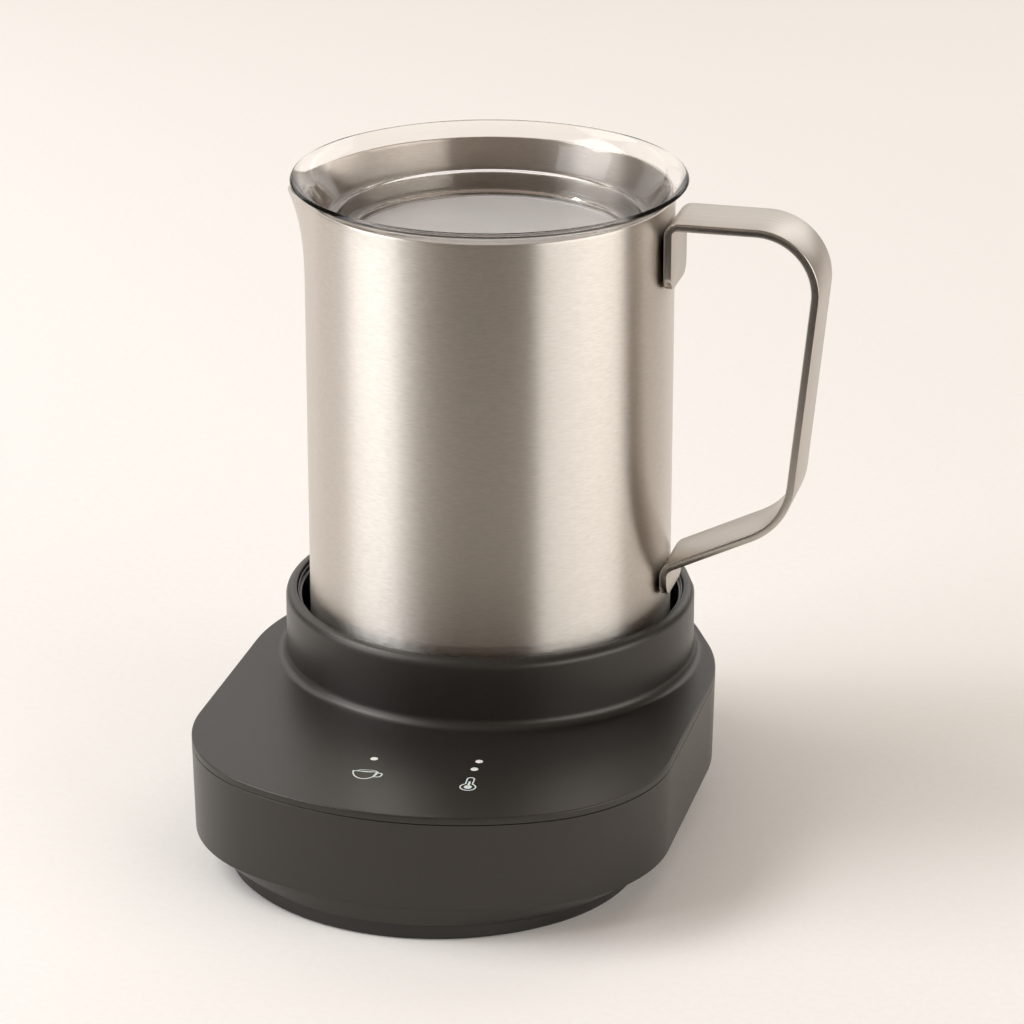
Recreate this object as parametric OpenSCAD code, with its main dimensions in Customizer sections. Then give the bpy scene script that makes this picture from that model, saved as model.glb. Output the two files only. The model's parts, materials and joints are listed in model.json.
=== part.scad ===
// Milk frother: an induction base with a round collar, and a steel jug with a clear lid
// that lifts out of it. A magnet rotor in the base turns a spring whisk inside the jug.
// Millimetres. The origin is the jug's axis on the surface that the base stands on.
// The front is -Y, the handle is at +X and the pouring lip at -X.

/* [Jug] */
// Outside diameter of the jug
jug_d = 100; // [94:1:108]
// Height of the jug from its foot to its rim
jug_h = 136; // [122:1:155]
// Thickness of the jug's steel
jug_wall = 0.8; // [0.6:0.1:1.2]
// Radius between the jug's wall and its floor
jug_corner_r = 4; // [2.5:0.5:5.5]
// How far the pouring lip stands out past the wall
lip_reach = 5; // [3:0.5:7]
// Height over which the lip flares out
lip_h = 24; // [18:1:30]
// Angle that half of the lip takes up
lip_half_angle = 34; // [28:1:42]
// Thickness of the induction ring under the jug's floor
ring_t = 1.6; // [1.2:0.1:2.2]
// Inside radius of the induction ring, clear of the magnets and the sensor
ring_hole_r = 26; // [25:0.1:28]

/* [Handle] */
// Width of the handle's strap
strap_w = 20; // [16:1:24]
// Thickness of the strap
strap_t = 2.2; // [1.8:0.1:2.8]
// How far the strap's top run lies below the jug's rim
strap_drop = 2.8; // [2:0.2:8]
// How far the grip stands out from the jug at its top
grip_reach = 43; // [36:1:52]
// Lean of the grip towards the jug as it goes down, in degrees
grip_lean = 5.6; // [0:0.2:8]
// Height of the grip's lower corner above the top run, measured down
grip_h = 81.2; // [70:0.2:88]
// Slope of the lower run, in degrees
lower_slope = 25.9; // [18:0.1:32]
// Height of each weld tab's straight part
tab_h = 14; // [10:1:18]
// Size of the cut on the tabs' corners
tab_cut = 4; // [2:0.5:6]

/* [Lid] */
// How far the lid's rim stands out past the jug's wall
lid_out = 3.7; // [3:0.1:6]
// How far the lid's rim stands above the jug's rim
lid_rise = 4.3; // [3.6:0.1:5.5]
// Depth of the lid's floor below its rim
lid_depth = 17.7; // [15:0.1:22]
// How far the lid's flat floor lies inside the jug's wall
lid_floor_in = 13; // [12.5:0.5:20]
// Thickness of the lid's moulding
lid_t = 1.2; // [1:0.1:1.8]
// Thickness of the lid's rim bead
bead_t = 1.8; // [1.4:0.1:2.2]

/* [Base body] */
// How far each side of the base stands out past the collar
side_out = 8.3; // [7:0.1:12]
// How far the front of the base stands out past the collar
front_out = 56.3; // [52:0.1:70]
// How far the back of the base stands out past the collar
back_out = 3.5; // [3.5:0.1:5.5]
// How far in front of the jug's axis the rounded sides are centred
side_y = 11; // [9:0.5:16]
// Radius of the bowed front
front_r = 87; // [82:1:110]
// Radius of the front corners
corner_r = 46; // [38:1:50]
// Height of the deck above the surface
deck_z = 35.8; // [35:0.1:44]
// How far the seam lies below the deck
seam_drop = 1.85; // [1.4:0.05:2.6]
// Width of the seam's groove
seam_gap = 0.35; // [0.2:0.05:0.6]
// Thickness of the housing's wall
wall = 2.6; // [2:0.1:3.2]
// How much each side wall leans in at its foot
draft = 0.6; // [0:0.1:1.5]
// Height of the wall's foot above the surface
wall_foot_z = 9.3; // [8:0.1:12]
// Height of the plinth's top above the surface
plinth_z = 3.9; // [3.5:0.1:5]
// How far the plinth lies inside the side walls
plinth_in = 4; // [3:0.25:6]
// How far the plinth lies inside the front
plinth_front_in = 2.2; // [1.5:0.1:4]
// Radius of the plinth's bowed front
plinth_front_r = 72; // [68:1:90]
// Radius of the plinth's front corners
plinth_corner_r = 50; // [44:1:54]
// Height of the bottom cover's underside above the surface
cover_lift = 0.6; // [0.4:0.1:1]
// Thickness of the bottom cover's floor
cover_t = 2.2; // [1.8:0.1:3]
// Width of the rubber foot ring
foot_w = 4.5; // [3.5:0.5:4.5]
// How deep the foot ring sits in the bottom cover
foot_sink = 1; // [0.6:0.1:1.2]

/* [Collar and cradle] */
// Height of the collar above the deck
collar_h = 19.5; // [12:0.5:24]
// Thickness of the collar's wall
collar_t = 3.1; // [2.6:0.1:3.4]
// Radius of the collar's lip
collar_lip_r = 2.6; // [1:0.1:2.6]
// Radius between the collar and the deck
collar_fillet_r = 2.8; // [1:0.1:2.8]
// Height of the plate that the jug stands on
plate_z = 33; // [32:0.1:34]
// Thickness of the cradle plate
plate_t = 2.8; // [2.4:0.1:3.2]
// Thickness of the silicone seal under the plate
seal_t = 0.8; // [0.6:0.1:1.2]
// Thickness of the cradle ring's wall
cradle_t = 1.2; // [0.9:0.1:1.6]
// Space between the jug and the cradle ring
jug_gap = 2.3; // [1.5:0.1:3]
// How far the cradle ring's top lies below the collar's
cradle_drop = 0.8; // [0.4:0.1:1.5]

/* [Drive and whisk] */
// Diameter of the motor
motor_d = 31; // [26:0.5:32]
// Height of the motor's can
motor_h = 15.2; // [13:0.1:15.4]
// Diameter of the motor shaft
shaft_d = 3; // [2:0.1:4]
// Diameter of the magnet rotor
rotor_d = 27; // [25.5:0.5:28]
// Height of the magnet rotor
rotor_h = 7; // [5.5:0.1:7.4]
// Diameter of each drive magnet
magnet_d = 8; // [6:0.5:8.5]
// Height of each magnet
magnet_h = 4; // [3:0.1:4.2]
// Distance of the magnets from the axis
magnet_r = 7.2; // [6.8:0.1:7.5]
// Radius of the whisk's spring ring, to the middle of its turns
whisk_r = 15.1; // [15.1:0.1:18]
// Radius of the spring's turns
turn_r = 2.6; // [2:0.1:2.6]
// Radius of the spring's wire
wire_r = 0.45; // [0.3:0.05:0.5]
// Number of turns in the spring ring
whisk_turns = 30; // [20:1:34]
// Radius of the whisk pin on the jug's floor
pin_r = 1.8; // [1.4:0.1:2]

/* [Heating] */
// How far the induction coil lies inside the jug's wall
coil_in = 9.6; // [9.4:0.1:14]
// Inside radius of the induction coil
coil_hole_r = 24.4; // [24.2:0.1:28]
// Diameter of the coil's wire
coil_wire_d = 3; // [2.4:0.1:3.2]
// Distance of the temperature sensor from the axis
sensor_r = 20.2; // [20.1:0.05:20.3]
// Travel of the temperature sensor
sensor_travel = 1.5; // [0.8:0.1:2]

/* [Controls] */
// How far the light windows' row lies behind the front edge
lights_in = 32.4; // [29:0.2:37]
// Place of the left touch field across the deck
left_key_x = -11; // [-20:0.5:-8]
// Place of the right touch field across the deck
right_key_x = 16.2; // [10:0.2:22]
// Spacing of the two windows over the right touch field
light_gap = 5; // [4:0.1:6]
// Distance of the touch fields in front of the light row
key_offset = 9.6; // [8:0.1:12]
// Diameter of a light window
light_d = 2.1; // [1.5:0.1:3]

/* [Hidden] */
$fn = 96;
e = 0.01;

// Clearances, each used wherever that kind of fit occurs
fit = 0.1;        // fixed pieces that drop into each other
run = 0.05;       // radial clearance of a turning shaft
apart = 0.3;      // curved faces on pieces that move apart

// Jug
jug_r = jug_d / 2;
lid_r = jug_r + lid_out;
lid_floor_r = jug_r - lid_floor_in;
coil_r = jug_r - coil_in;
jug_in_r = jug_r - jug_wall;
jug_floor_z = plate_z + ring_t;         // underside of the jug's floor
jug_floor_top = jug_floor_z + jug_wall;
rim_z = plate_z + jug_h;
lip_z = rim_z - lip_h;

// Base, from the jug outwards: cradle ring, collar, then the sides, front and back
well_r = jug_r + jug_gap + cradle_t + fit; // inside of the collar and the well below it
cradle_r = well_r - fit;
collar_r = well_r + collar_t;
base_w = 2 * (collar_r + side_out);
base_front = collar_r + front_out;
base_back = collar_r + back_out;
cover_z = cover_lift + cover_t;          // top face of the bottom cover's floor
seam_z = deck_z - seam_drop;             // underside of the top cover's edge
housing_z = seam_z - seam_gap;           // top edge of the housing
collar_z = deck_z + collar_h;
plate_bottom = plate_z - plate_t;
ledge_z = plate_bottom - seal_t;
ledge_t = 2;
ledge_hole_r = coil_r + 1.1;
well_wall = 2.2;

foot_in = 2;                             // how far the foot ring lies inside the plinth's edge
spigot_t = 1.3;                          // rim of the bottom cover, inside the housing's foot
spigot_h = 3.6;
rib_t = 1.3;                             // rib of the top cover, inside the housing's top
rib_h = 3.4;
edge_cut = 0.5;                          // chamfer round the deck's edge

// Slots in the bottom cover, below the fan and opposite it
vent_pitch = 3.6;
vent_w = 1.8;
vent_l = 18;
vent_side = 3;                           // slots on each side of the middle one

// Motor and rotor
mount_t = 1.8;
mount_h = 8;
mount_floor = 1.5;
motor_z = cover_z + mount_floor;
motor_top = motor_z + motor_h;
boss_r = 5;
boss_h = 1.5;
rotor_z = motor_top + boss_h + 0.6;
rotor_top = rotor_z + rotor_h;
shaft_r = shaft_d / 2;
shaft_z = motor_z + 4;
shaft_top = rotor_top - 2.6;
magnet_angles = [0, 180];

// Coil, its carrier and the sensor
carrier_t = 2;
carrier_r = coil_r + 0.6;
coil_top = plate_bottom - 0.8;
carrier_z = coil_top - coil_wire_d - carrier_t;
sleeve_in_r = rotor_d / 2 + 1.2;
sleeve_t = 1.1;
carrier_hole_r = sleeve_in_r + sleeve_t;
leg_angles = [30, 150, 270];
leg_r = 3;
leg_ring_r = carrier_r - leg_r - 1;
leg_socket_t = 1.4;
leg_socket_h = 3;
ferrite_h = 3;
ferrite_w = 6;
ferrite_angles = [0, 60, 120, 180, 240, 300];
sensor_at = [0, sensor_r, 0];
sensor_head_r = 2.2;
sensor_foot_r = 2.6;
sensor_tip = jug_floor_z - 0.25;
guide_top = plate_bottom - 0.6;
guide_lip = 0.9;
sensor_foot_top = guide_top - guide_lip - apart;
sensor_foot_z = sensor_foot_top - 4;
spring_r = 1.8;
spring_wire_r = 0.3;
spring_z = sensor_foot_z - sensor_travel - 3.4;
guide_t = 1;
guide_r = sensor_foot_r + fit + guide_t;

// Screws: four posts rise from the bottom cover to meet bosses of the top cover
post_r = 3.8;
post_top = 14;
boss_gap = fit;
screw_r = 1.5;
screw_head_r = 2.8;
screw_head_h = 1.8;
screw_seat = post_top - 5;
screw_grip = 9;                          // length of screw in the top cover's boss
front_screw = [base_w / 2 - 25, 36 - base_front];
rear_screw = (carrier_r + post_r + 0.75) * [cos(19.2), sin(19.2)];
front_screws = [front_screw, [-front_screw[0], front_screw[1]]];
rear_screws = [rear_screw, [-rear_screw[0], rear_screw[1]]];
screw_places = concat(front_screws, rear_screws);

// Boards
lights_y = base_front - lights_in;
board_t = 1.6;
board_post_r = 2.6;
board_hole_r = 1.5;
control_drop = 9.2;
control_z = deck_z - control_drop;
control_top = control_z + board_t;
control_size = [base_w - 62, 24];
control_y = -(lights_y + key_offset / 2 - 0.5);
control_post_in = 3;
key_spring_r = 3.6;
key_wire_r = 0.35;
light_places = [[left_key_x, -lights_y], [right_key_x, -lights_y], [right_key_x, light_gap - lights_y]];
key_places = [[left_key_x, -lights_y - key_offset], [right_key_x + 1, -lights_y - key_offset]];
led_size = [3, 2.2, 1.1];
power_z = 8;
power_size = [base_w - 64, 36];
power_y = 31 - base_front;
power_post_in = 4;
power_top = power_z + board_t;
power_row_in = 10;                       // how far the parts' row lies inside the board's edge
switch_t = 3;
cap_r = 5;
cap_h = 12;
choke_r = 6;
choke_hole_r = 2.5;
choke_h = 8;
part_w = power_size[0] / 6;              // pitch of the parts along the board
sink_size = [26, 7, 9];
sink_fin_w = 1.6;
sink_base_t = 2;
chip_size = [9, 9, 1.4];

// Cooling fan
fan_at = [-36, -6, cover_z];
fan_w = 30;
fan_h = 9;
fan_bore_r = 13.8;
fan_hub_r = 6;
fan_blades = 7;
fan_shaft_r = 1;

// Cord bush in the back wall
bush_z = 18;
bush_bore_r = 3.4;
bush_neck_r = 5.4;
bush_flange_r = 8;
bush_flange_t = 1.6;
bush_spot = 1.2;                         // depth of the flat that the flange sits on
bush_boss_t = 2;

// Whisk
pin_foot_r = 5;
pin_foot_t = 0.6;
hub_z = jug_floor_top + pin_foot_t + apart;
hub_r = whisk_r - turn_r - wire_r - run;
hub_flange_r = whisk_r - 1.1;
coil_z = hub_z + 2.7;
hub_flange_z = coil_z + turn_r + wire_r + 0.1;
hub_flange_t = 0.9;
hub_bore_r = pin_r + run;
hub_bore_top = hub_flange_z - 0.4;
pin_top = hub_bore_top - apart;
stem_r = 3;
stem_h = 9;

// Colours
steel = [0.74, 0.71, 0.67];
charcoal = [0.23, 0.22, 0.21];
gloss = [0.12, 0.12, 0.12];
copper = [0.72, 0.43, 0.26];
clear = [0.9, 0.92, 0.92, 0.4];
board_green = [0.10, 0.34, 0.20];

// ---------------------------------------------------------------- outlines and lofts

// Points of an arc from angle a to angle b, both ends included
function arc(c, r, a, b, n) = [for (i = [0:n]) let (t = a + (b - a) * i / n) c + r * [cos(t), sin(t)]];

// A list without its last point
function but_last(p) = [for (i = [0:len(p) - 2]) p[i]];

// Outline of the base: a back that follows the collar, rounded and then straight sides, rounded
// front corners and a bowed front. Every arc touches the next. inset moves it all inwards.
function outline(half_w, front, back_r, bow_r, round_r, inset) =
    let (side_c = [0, -side_y],
         lean = asin((half_w - back_r) / side_y),
         bow_c = [0, bow_r - front],
         cx = half_w - round_r,
         drop = sqrt(pow(bow_r - round_r, 2) - cx * cx),
         cy = bow_c[1] - drop,
         meet = atan2(drop, cx))
    concat(
        arc(side_c, half_w - inset, 0, lean, 4),
        arc([0, 0], back_r - inset, lean, 180 - lean, 24),
        arc(side_c, half_w - inset, 180 - lean, 180, 4),
        but_last(arc([-cx, cy], round_r - inset, 180, 180 + meet, 8)),
        but_last(arc(bow_c, bow_r - inset, 180 + meet, 360 - meet, 14)),
        arc([cx, cy], round_r - inset, 360 - meet, 360, 8));

function deck_outline(inset) = outline(base_w / 2, base_front, base_back, front_r, corner_r, inset);

function plinth_outline(inset) = outline(base_w / 2 - plinth_in, base_front - plinth_front_in,
    base_back - plinth_in, plinth_front_r, plinth_corner_r, inset);

// A flat outline lifted to a height
function at_z(points, z) = [for (p = points) [p[0], p[1], z]];

// A solid through a stack of rings with the same number of points, closed at both ends
module loft(rings) {
    n = len(rings[0]);
    last = len(rings) - 1;
    polyhedron(
        points = [for (ring = rings) each ring],
        faces = concat(
            [[for (i = [0:n - 1]) i]],
            [for (k = [0:last - 1]) for (i = [0:n - 1]) let (j = (i + 1) % n)
                each [[k * n + i, k * n + n + i, k * n + j], [k * n + j, k * n + n + i, k * n + n + j]]],
            [[for (i = [0:n - 1]) last * n + n - 1 - i]]),
        convexity = 6);
}

// A tube of radius w along points. normals give, for each point, a direction across the tube.
module sweep(points, normals, w, sides, closed = false) {
    m = len(points);
    rings = [for (k = [0:m - 1])
        let (before = points[closed ? (k + m - 1) % m : max(k - 1, 0)],
             after = points[closed ? (k + 1) % m : min(k + 1, m - 1)],
             along = (after - before) / norm(after - before),
             side = cross(along, normals[k]),
             v = side / norm(side),
             u = cross(v, along))
        each [for (t = [0:360 / sides:359]) points[k] + w * (cos(t) * u + sin(t) * v)]];
    steps = closed ? m - 1 : m - 2;
    walls = [for (k = [0:steps]) for (i = [0:sides - 1])
        let (a = k * sides + i, b = k * sides + (i + 1) % sides,
             c = ((k + 1) % m) * sides + i, d = ((k + 1) % m) * sides + (i + 1) % sides)
        each [[a, c, b], [b, c, d]]];
    caps = closed ? [] : [[for (i = [0:sides - 1]) i],
        [for (i = [0:sides - 1]) (m - 1) * sides + sides - 1 - i]];
    polyhedron(points = rings, faces = concat(walls, caps), convexity = 10);
}

// A compression spring standing at a height, with its ends closed by the tube's own caps
module spring(r, wire, z, h, turns) {
    n = 12;
    rise = (h - 2 * wire) / (turns * n);
    points = [for (k = [0:turns * n]) [r * cos(360 * k / n), r * sin(360 * k / n), z + wire + k * rise]];
    normals = [for (k = [0:turns * n]) [cos(360 * k / n), sin(360 * k / n), 0]];
    sweep(points, normals, wire, 5);
}

// Copies of the children at a list of flat places
module at_each(places) {
    for (p = places) translate([p[0], p[1], 0]) children();
}

// A cylinder between two heights
module rod(r, z0, z1) {
    translate([0, 0, z0]) cylinder(r = r, h = z1 - z0);
}

// A ring between two radii and two heights
module ring(r0, r1, z0, z1) {
    difference() {
        rod(r1, z0, z1);
        rod(r0, z0 - 1, z1 + 1);
    }
}

// ---------------------------------------------------------------- base, outside

// Rubber ring that the whole frother stands on
module foot_ring() {
    color([0.08, 0.08, 0.08])
    linear_extrude(cover_lift + foot_sink) difference() {
        polygon(plinth_outline(foot_in));
        polygon(plinth_outline(foot_in + foot_w));
    }
}

// Ventilation slots, a row across the fan and a row on the other side
module vent_slots() {
    for (side = [-1, 1]) for (k = [-vent_side:vent_side])
        translate([side * fan_at[0] + vent_pitch * k, fan_at[1], 0]) {
            translate([-vent_w / 2, -vent_l / 2, cover_lift - 1]) cube([vent_w, vent_l, cover_t + 2]);
            for (end = [-1, 1])
                translate([0, end * vent_l / 2, 0]) rod(vent_w / 2, cover_lift - 1, cover_z + 1);
        }
}

// Plinth and floor of the base, with posts for the screws, the boards and the coil carrier
module bottom_cover() {
    color([0.15, 0.15, 0.14])
    difference() {
        union() {
            difference() {
                translate([0, 0, cover_lift])
                    linear_extrude(plinth_z - cover_lift) polygon(plinth_outline(0));
                translate([0, 0, cover_z]) linear_extrude(plinth_z) polygon(plinth_outline(wall));
            }
            translate([0, 0, cover_z - e]) linear_extrude(spigot_h) difference() {
                polygon(plinth_outline(wall + fit));
                polygon(plinth_outline(wall + fit + spigot_t));
            }
            at_each(screw_places) rod(post_r, cover_z - e, post_top);
            at_each(power_posts()) rod(board_post_r, cover_z - e, power_z);
            at_legs() rod(leg_r + leg_socket_t, cover_z - e, cover_z + leg_socket_h);
        }
        translate([0, 0, cover_lift - 1]) linear_extrude(1 + foot_sink) difference() {
            polygon(plinth_outline(foot_in - fit));
            polygon(plinth_outline(foot_in + foot_w + fit));
        }
        at_each(screw_places) {
            rod(screw_r + 2 * fit, cover_lift - 1, post_top + 1);
            rod(screw_head_r + 3 * fit, cover_lift - 1, screw_seat);
        }
        at_legs() rod(leg_r + run, cover_z, cover_z + leg_socket_h + 1);
        vent_slots();
    }
}

// The four corners of a board, each moved in from its edges
function corners(size, y, inwards) = [for (i = [-1, 1]) for (j = [-1, 1])
    [i * (size[0] / 2 - inwards), y + j * (size[1] / 2 - inwards)]];

function power_posts() = corners(power_size, power_y, power_post_in);
function control_posts() = corners(control_size, control_y, control_post_in);

// Copies of the children at the coil carrier's legs
module at_legs() {
    for (a = leg_angles) rotate(a) translate([leg_ring_r, 0, 0]) children();
}

// Screws that hold the bottom cover to the top cover, with the housing between them
module bottom_screws() {
    color([0.6, 0.6, 0.6])
    at_each(screw_places) difference() {
        union() {
            rod(screw_head_r, screw_seat - screw_head_h, screw_seat);
            rod(screw_r, screw_seat - e, post_top + screw_grip);
        }
        translate([0, 0, screw_seat - screw_head_h - 1]) cylinder(r = screw_r * 0.7, h = 2.2, $fn = 6);
    }
}

// Side wall of the base: leans in slightly, then cuts in to the plinth
module base_housing() {
    color(charcoal)
    difference() {
        union() {
            difference() {
                loft([at_z(plinth_outline(0), plinth_z), at_z(deck_outline(draft), wall_foot_z),
                    at_z(deck_outline(0), housing_z)]);
                loft([at_z(plinth_outline(wall), plinth_z - 1), at_z(plinth_outline(wall), plinth_z),
                    at_z(deck_outline(draft + wall), wall_foot_z + 0.8),
                    at_z(deck_outline(wall), housing_z),
                    at_z(deck_outline(wall), housing_z + 1)]);
            }
            // boss behind the wall that holds the cord bush
            intersection() {
                from_back(wall + 2.5) cylinder(r = bush_neck_r + bush_boss_t, h = 4);
                loft([at_z(deck_outline(1), wall_foot_z), at_z(deck_outline(1), housing_z)]);
            }
        }
        from_back(3 * wall) cylinder(r = bush_neck_r, h = 6 * wall);
        from_back(bush_spot) cylinder(r = bush_flange_r + fit, h = 3 * wall);
    }
}

// Children turned to face backwards, starting a depth inside the back wall
module from_back(depth) {
    translate([0, base_back - depth, bush_z]) rotate([-90, 0, 0]) children();
}

// Bush that a mains cord comes out of, seated on a flat in the back wall
module cord_bush() {
    depth = wall + 1.7;
    color(gloss)
    from_back(bush_spot) rotate_extrude()
        polygon([[bush_bore_r, -depth], [bush_neck_r - run, -depth], [bush_neck_r - run, 0],
            [bush_flange_r, 0], [bush_flange_r, 0.8], [bush_flange_r - 0.8, bush_flange_t],
            [bush_bore_r, bush_flange_t]]);
}

// Section of the collar, the well below it and the ledge that carries the cradle plate
module collar_section() {
    lip_c = [collar_r - collar_lip_r, collar_z - collar_lip_r];
    polygon(concat(
        [[ledge_hole_r, ledge_z - ledge_t], [well_r + well_wall, ledge_z - ledge_t],
         [well_r + well_wall, seam_z + e], [collar_r + collar_fillet_r, seam_z + e]],
        arc([collar_r + collar_fillet_r, deck_z + collar_fillet_r - 0.02], collar_fillet_r, 270, 180, 10),
        arc(lip_c, collar_lip_r, 0, 90, 8),
        [[well_r + 0.4, collar_z], [well_r, collar_z - 0.4], [well_r, ledge_z], [ledge_hole_r, ledge_z]]));
}

// Deck and collar of the base, one moulding
module top_cover() {
    color(charcoal)
    difference() {
        union() {
            difference() {
                loft([at_z(deck_outline(0), seam_z), at_z(deck_outline(0), deck_z - edge_cut),
                    at_z(deck_outline(edge_cut), deck_z)]);
                rod(well_r + 1, seam_z - 1, deck_z + 1);
            }
            rotate_extrude() collar_section();
            // rib that locates the cover inside the housing
            translate([0, 0, seam_z - rib_h]) linear_extrude(rib_h + e) difference() {
                polygon(deck_outline(wall + fit));
                polygon(deck_outline(wall + fit + rib_t));
            }
            at_each(front_screws) rod(post_r, post_top + boss_gap, seam_z + e);
            at_each(rear_screws) rod(post_r, post_top + boss_gap, ledge_z - ledge_t + e);
            at_each(control_posts()) rod(board_post_r, control_top, seam_z + e);
        }
        at_each(screw_places) rod(screw_r, post_top, post_top + screw_grip + 2);
        at_each(light_places) rod(light_d / 2 + run, seam_z - 1, deck_z + 1);
        rod(well_r, ledge_z, collar_z - 1);
    }
}

// Glossy sleeve with a step, inside the collar
module cradle_ring() {
    top = collar_z - cradle_drop;
    color(gloss)
    rotate_extrude() polygon([[cradle_r - cradle_t, plate_z], [cradle_r, plate_z], [cradle_r, top - 0.3],
        [cradle_r - 0.3, top], [cradle_r - 0.6, top], [cradle_r - 0.6, top - 1.4],
        [cradle_r - cradle_t, top - 1.4]]);
}

// Plate that the jug stands on, over the coil
module cradle_plate() {
    color([0.16, 0.16, 0.17])
    difference() {
        union() {
            rod(cradle_r, plate_bottom, plate_z - 0.3);
            rod(cradle_r - 0.3, plate_z - 0.3 - e, plate_z);
        }
        translate(sensor_at) rod(sensor_head_r + apart, plate_bottom - 1, plate_z + 1);
    }
}

// Silicone ring between the plate and the ledge of the top cover
module plate_seal() {
    color([0.35, 0.33, 0.32])
    ring(well_r - 6, cradle_r, ledge_z, plate_bottom);
}

// ---------------------------------------------------------------- heating and sensor

// Flat spiral of litz wire, drawn as touching round turns
module induction_coil() {
    pitch = coil_wire_d - 0.25;
    turns = floor((coil_r - coil_hole_r - coil_wire_d) / pitch);
    color(copper)
    rotate_extrude() for (k = [0:turns])
        translate([coil_hole_r + coil_wire_d / 2 + k * pitch, coil_top - coil_wire_d / 2])
            circle(d = coil_wire_d, $fn = 32);
}

// Moulded disc that carries the coil, with a sleeve round the rotor and three legs
module coil_carrier() {
    color([0.85, 0.84, 0.80])
    difference() {
        union() {
            rod(carrier_r, carrier_z, carrier_z + carrier_t);
            rod(carrier_hole_r, carrier_z - 2, coil_top);
            at_legs() rod(leg_r, cover_z, carrier_z + e);
        }
        rod(sleeve_in_r, carrier_z - 3, coil_top + 1);
        translate(sensor_at) rod(guide_r + run, carrier_z - 3, coil_top + 1);
    }
}

// Ferrite bars under the carrier, which close the coil's field
module ferrite_bars() {
    color([0.25, 0.25, 0.26])
    for (a = ferrite_angles) rotate(a)
        translate([coil_hole_r + 1, -ferrite_w / 2, carrier_z - ferrite_h])
            cube([coil_r - coil_hole_r - 2, ferrite_w, ferrite_h]);
}

// Guide of the temperature sensor, closed below for the spring
module sensor_guide() {
    color([0.82, 0.80, 0.76])
    translate(sensor_at) difference() {
        union() {
            rod(guide_r, spring_z - 1, guide_top);
            rod(guide_r + 0.4, carrier_z + carrier_t, carrier_z + carrier_t + 0.8);
        }
        rod(sensor_foot_r + fit, spring_z, guide_top - guide_lip);
        rod(sensor_head_r + fit, spring_z, guide_top + 1);
    }
}

// Spring that pushes the sensor against the jug's floor
module sensor_spring() {
    color([0.7, 0.7, 0.7])
    translate(sensor_at) spring(spring_r, spring_wire_r, spring_z, sensor_foot_z - spring_z, 4);
}

// Temperature sensor: a metal cap with a shoulder that stops it in its guide
module temp_sensor() {
    color([0.78, 0.76, 0.72])
    translate(sensor_at) rotate_extrude() polygon([[0, sensor_foot_z], [sensor_foot_r, sensor_foot_z],
        [sensor_foot_r, sensor_foot_top], [sensor_head_r, sensor_foot_top],
        [sensor_head_r, sensor_tip - 0.5],
        [sensor_head_r - 0.5, sensor_tip], [0, sensor_tip]]);
}

// ---------------------------------------------------------------- drive

// Rubber cup that holds the motor and keeps its noise from the base
module motor_mount() {
    color([0.1, 0.1, 0.1])
    difference() {
        rod(motor_d / 2 + mount_t, cover_z, motor_z + mount_h);
        rod(motor_d / 2, motor_z, motor_z + mount_h + 1);
    }
}

// Motor can with its end boss, bored for the shaft
module motor() {
    color([0.66, 0.66, 0.67])
    difference() {
        union() {
            rod(motor_d / 2, motor_z, motor_top - 0.8);
            rod(motor_d / 2 - 0.8, motor_top - 0.8 - e, motor_top);
            rod(boss_r, motor_top - e, motor_top + boss_h);
        }
        rod(shaft_r + run, shaft_z - 0.3, motor_top + boss_h + 1);
    }
}

module motor_shaft() {
    color([0.8, 0.8, 0.8]) rod(shaft_r, shaft_z, shaft_top);
}

// Disc that carries the drive magnets at the top of the shaft
module drive_rotor() {
    color([0.9, 0.88, 0.84])
    difference() {
        union() {
            rod(rotor_d / 2, rotor_z + 1, rotor_top);
            rod(rotor_d / 2 - 3, rotor_z, rotor_z + 1 + e);
        }
        rod(shaft_r, rotor_z - 1, shaft_top);
        magnet_pockets(rotor_top - magnet_h, rotor_top + 1);
    }
}

// Round pockets for the two magnets of a rotor
module magnet_pockets(z0, z1) {
    for (a = magnet_angles) rotate(a) translate([magnet_r, 0, 0]) rod(magnet_d / 2 + run, z0, z1);
}

// The two magnets of a rotor
module magnet_pair(z0, z1) {
    for (a = magnet_angles) rotate(a) translate([magnet_r, 0, 0]) rod(magnet_d / 2, z0, z1);
}

module drive_magnets() {
    color([0.75, 0.76, 0.78]) magnet_pair(rotor_top - magnet_h, rotor_top);
}

// Frame of the cooling fan, with a motor boss on three arms
module fan_frame() {
    color(gloss)
    translate(fan_at) {
        difference() {
            translate([-fan_w / 2, -fan_w / 2, 0]) cube([fan_w, fan_w, fan_h]);
            rod(fan_bore_r, -1, fan_h + 1);
            for (x = [-1, 1]) for (y = [-1, 1]) translate([x * 12.4, y * 12.4, 0]) rod(1.4, -1, fan_h + 1);
        }
        difference() {
            union() {
                rod(fan_hub_r, 0, 1.4);
                for (a = [90, 210, 330]) rotate(a) translate([fan_hub_r - 1, -1, 0])
                    cube([fan_bore_r - fan_hub_r + 1.3, 2, 1.2]);
            }
            rod(fan_shaft_r + run, -1, 2);
        }
    }
}

// Impeller with slanted blades
module fan_impeller() {
    color([0.2, 0.2, 0.21])
    translate(fan_at) {
        rod(fan_hub_r, 1.8, fan_h - 0.6);
        rod(fan_shaft_r, 0.3, 1.8 + e);
        intersection() {
            ring(fan_hub_r - 0.2, fan_bore_r - 0.5, 2.2, fan_h - 1);
            for (k = [0:fan_blades - 1]) rotate(360 * k / fan_blades)
                translate([fan_hub_r - 1, 0, fan_h / 2 + 0.6]) rotate([38, 0, 0])
                    translate([0, -4.6, -0.5]) cube([9, 9.2, 1]);
        }
    }
}

// ---------------------------------------------------------------- electronics

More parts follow.
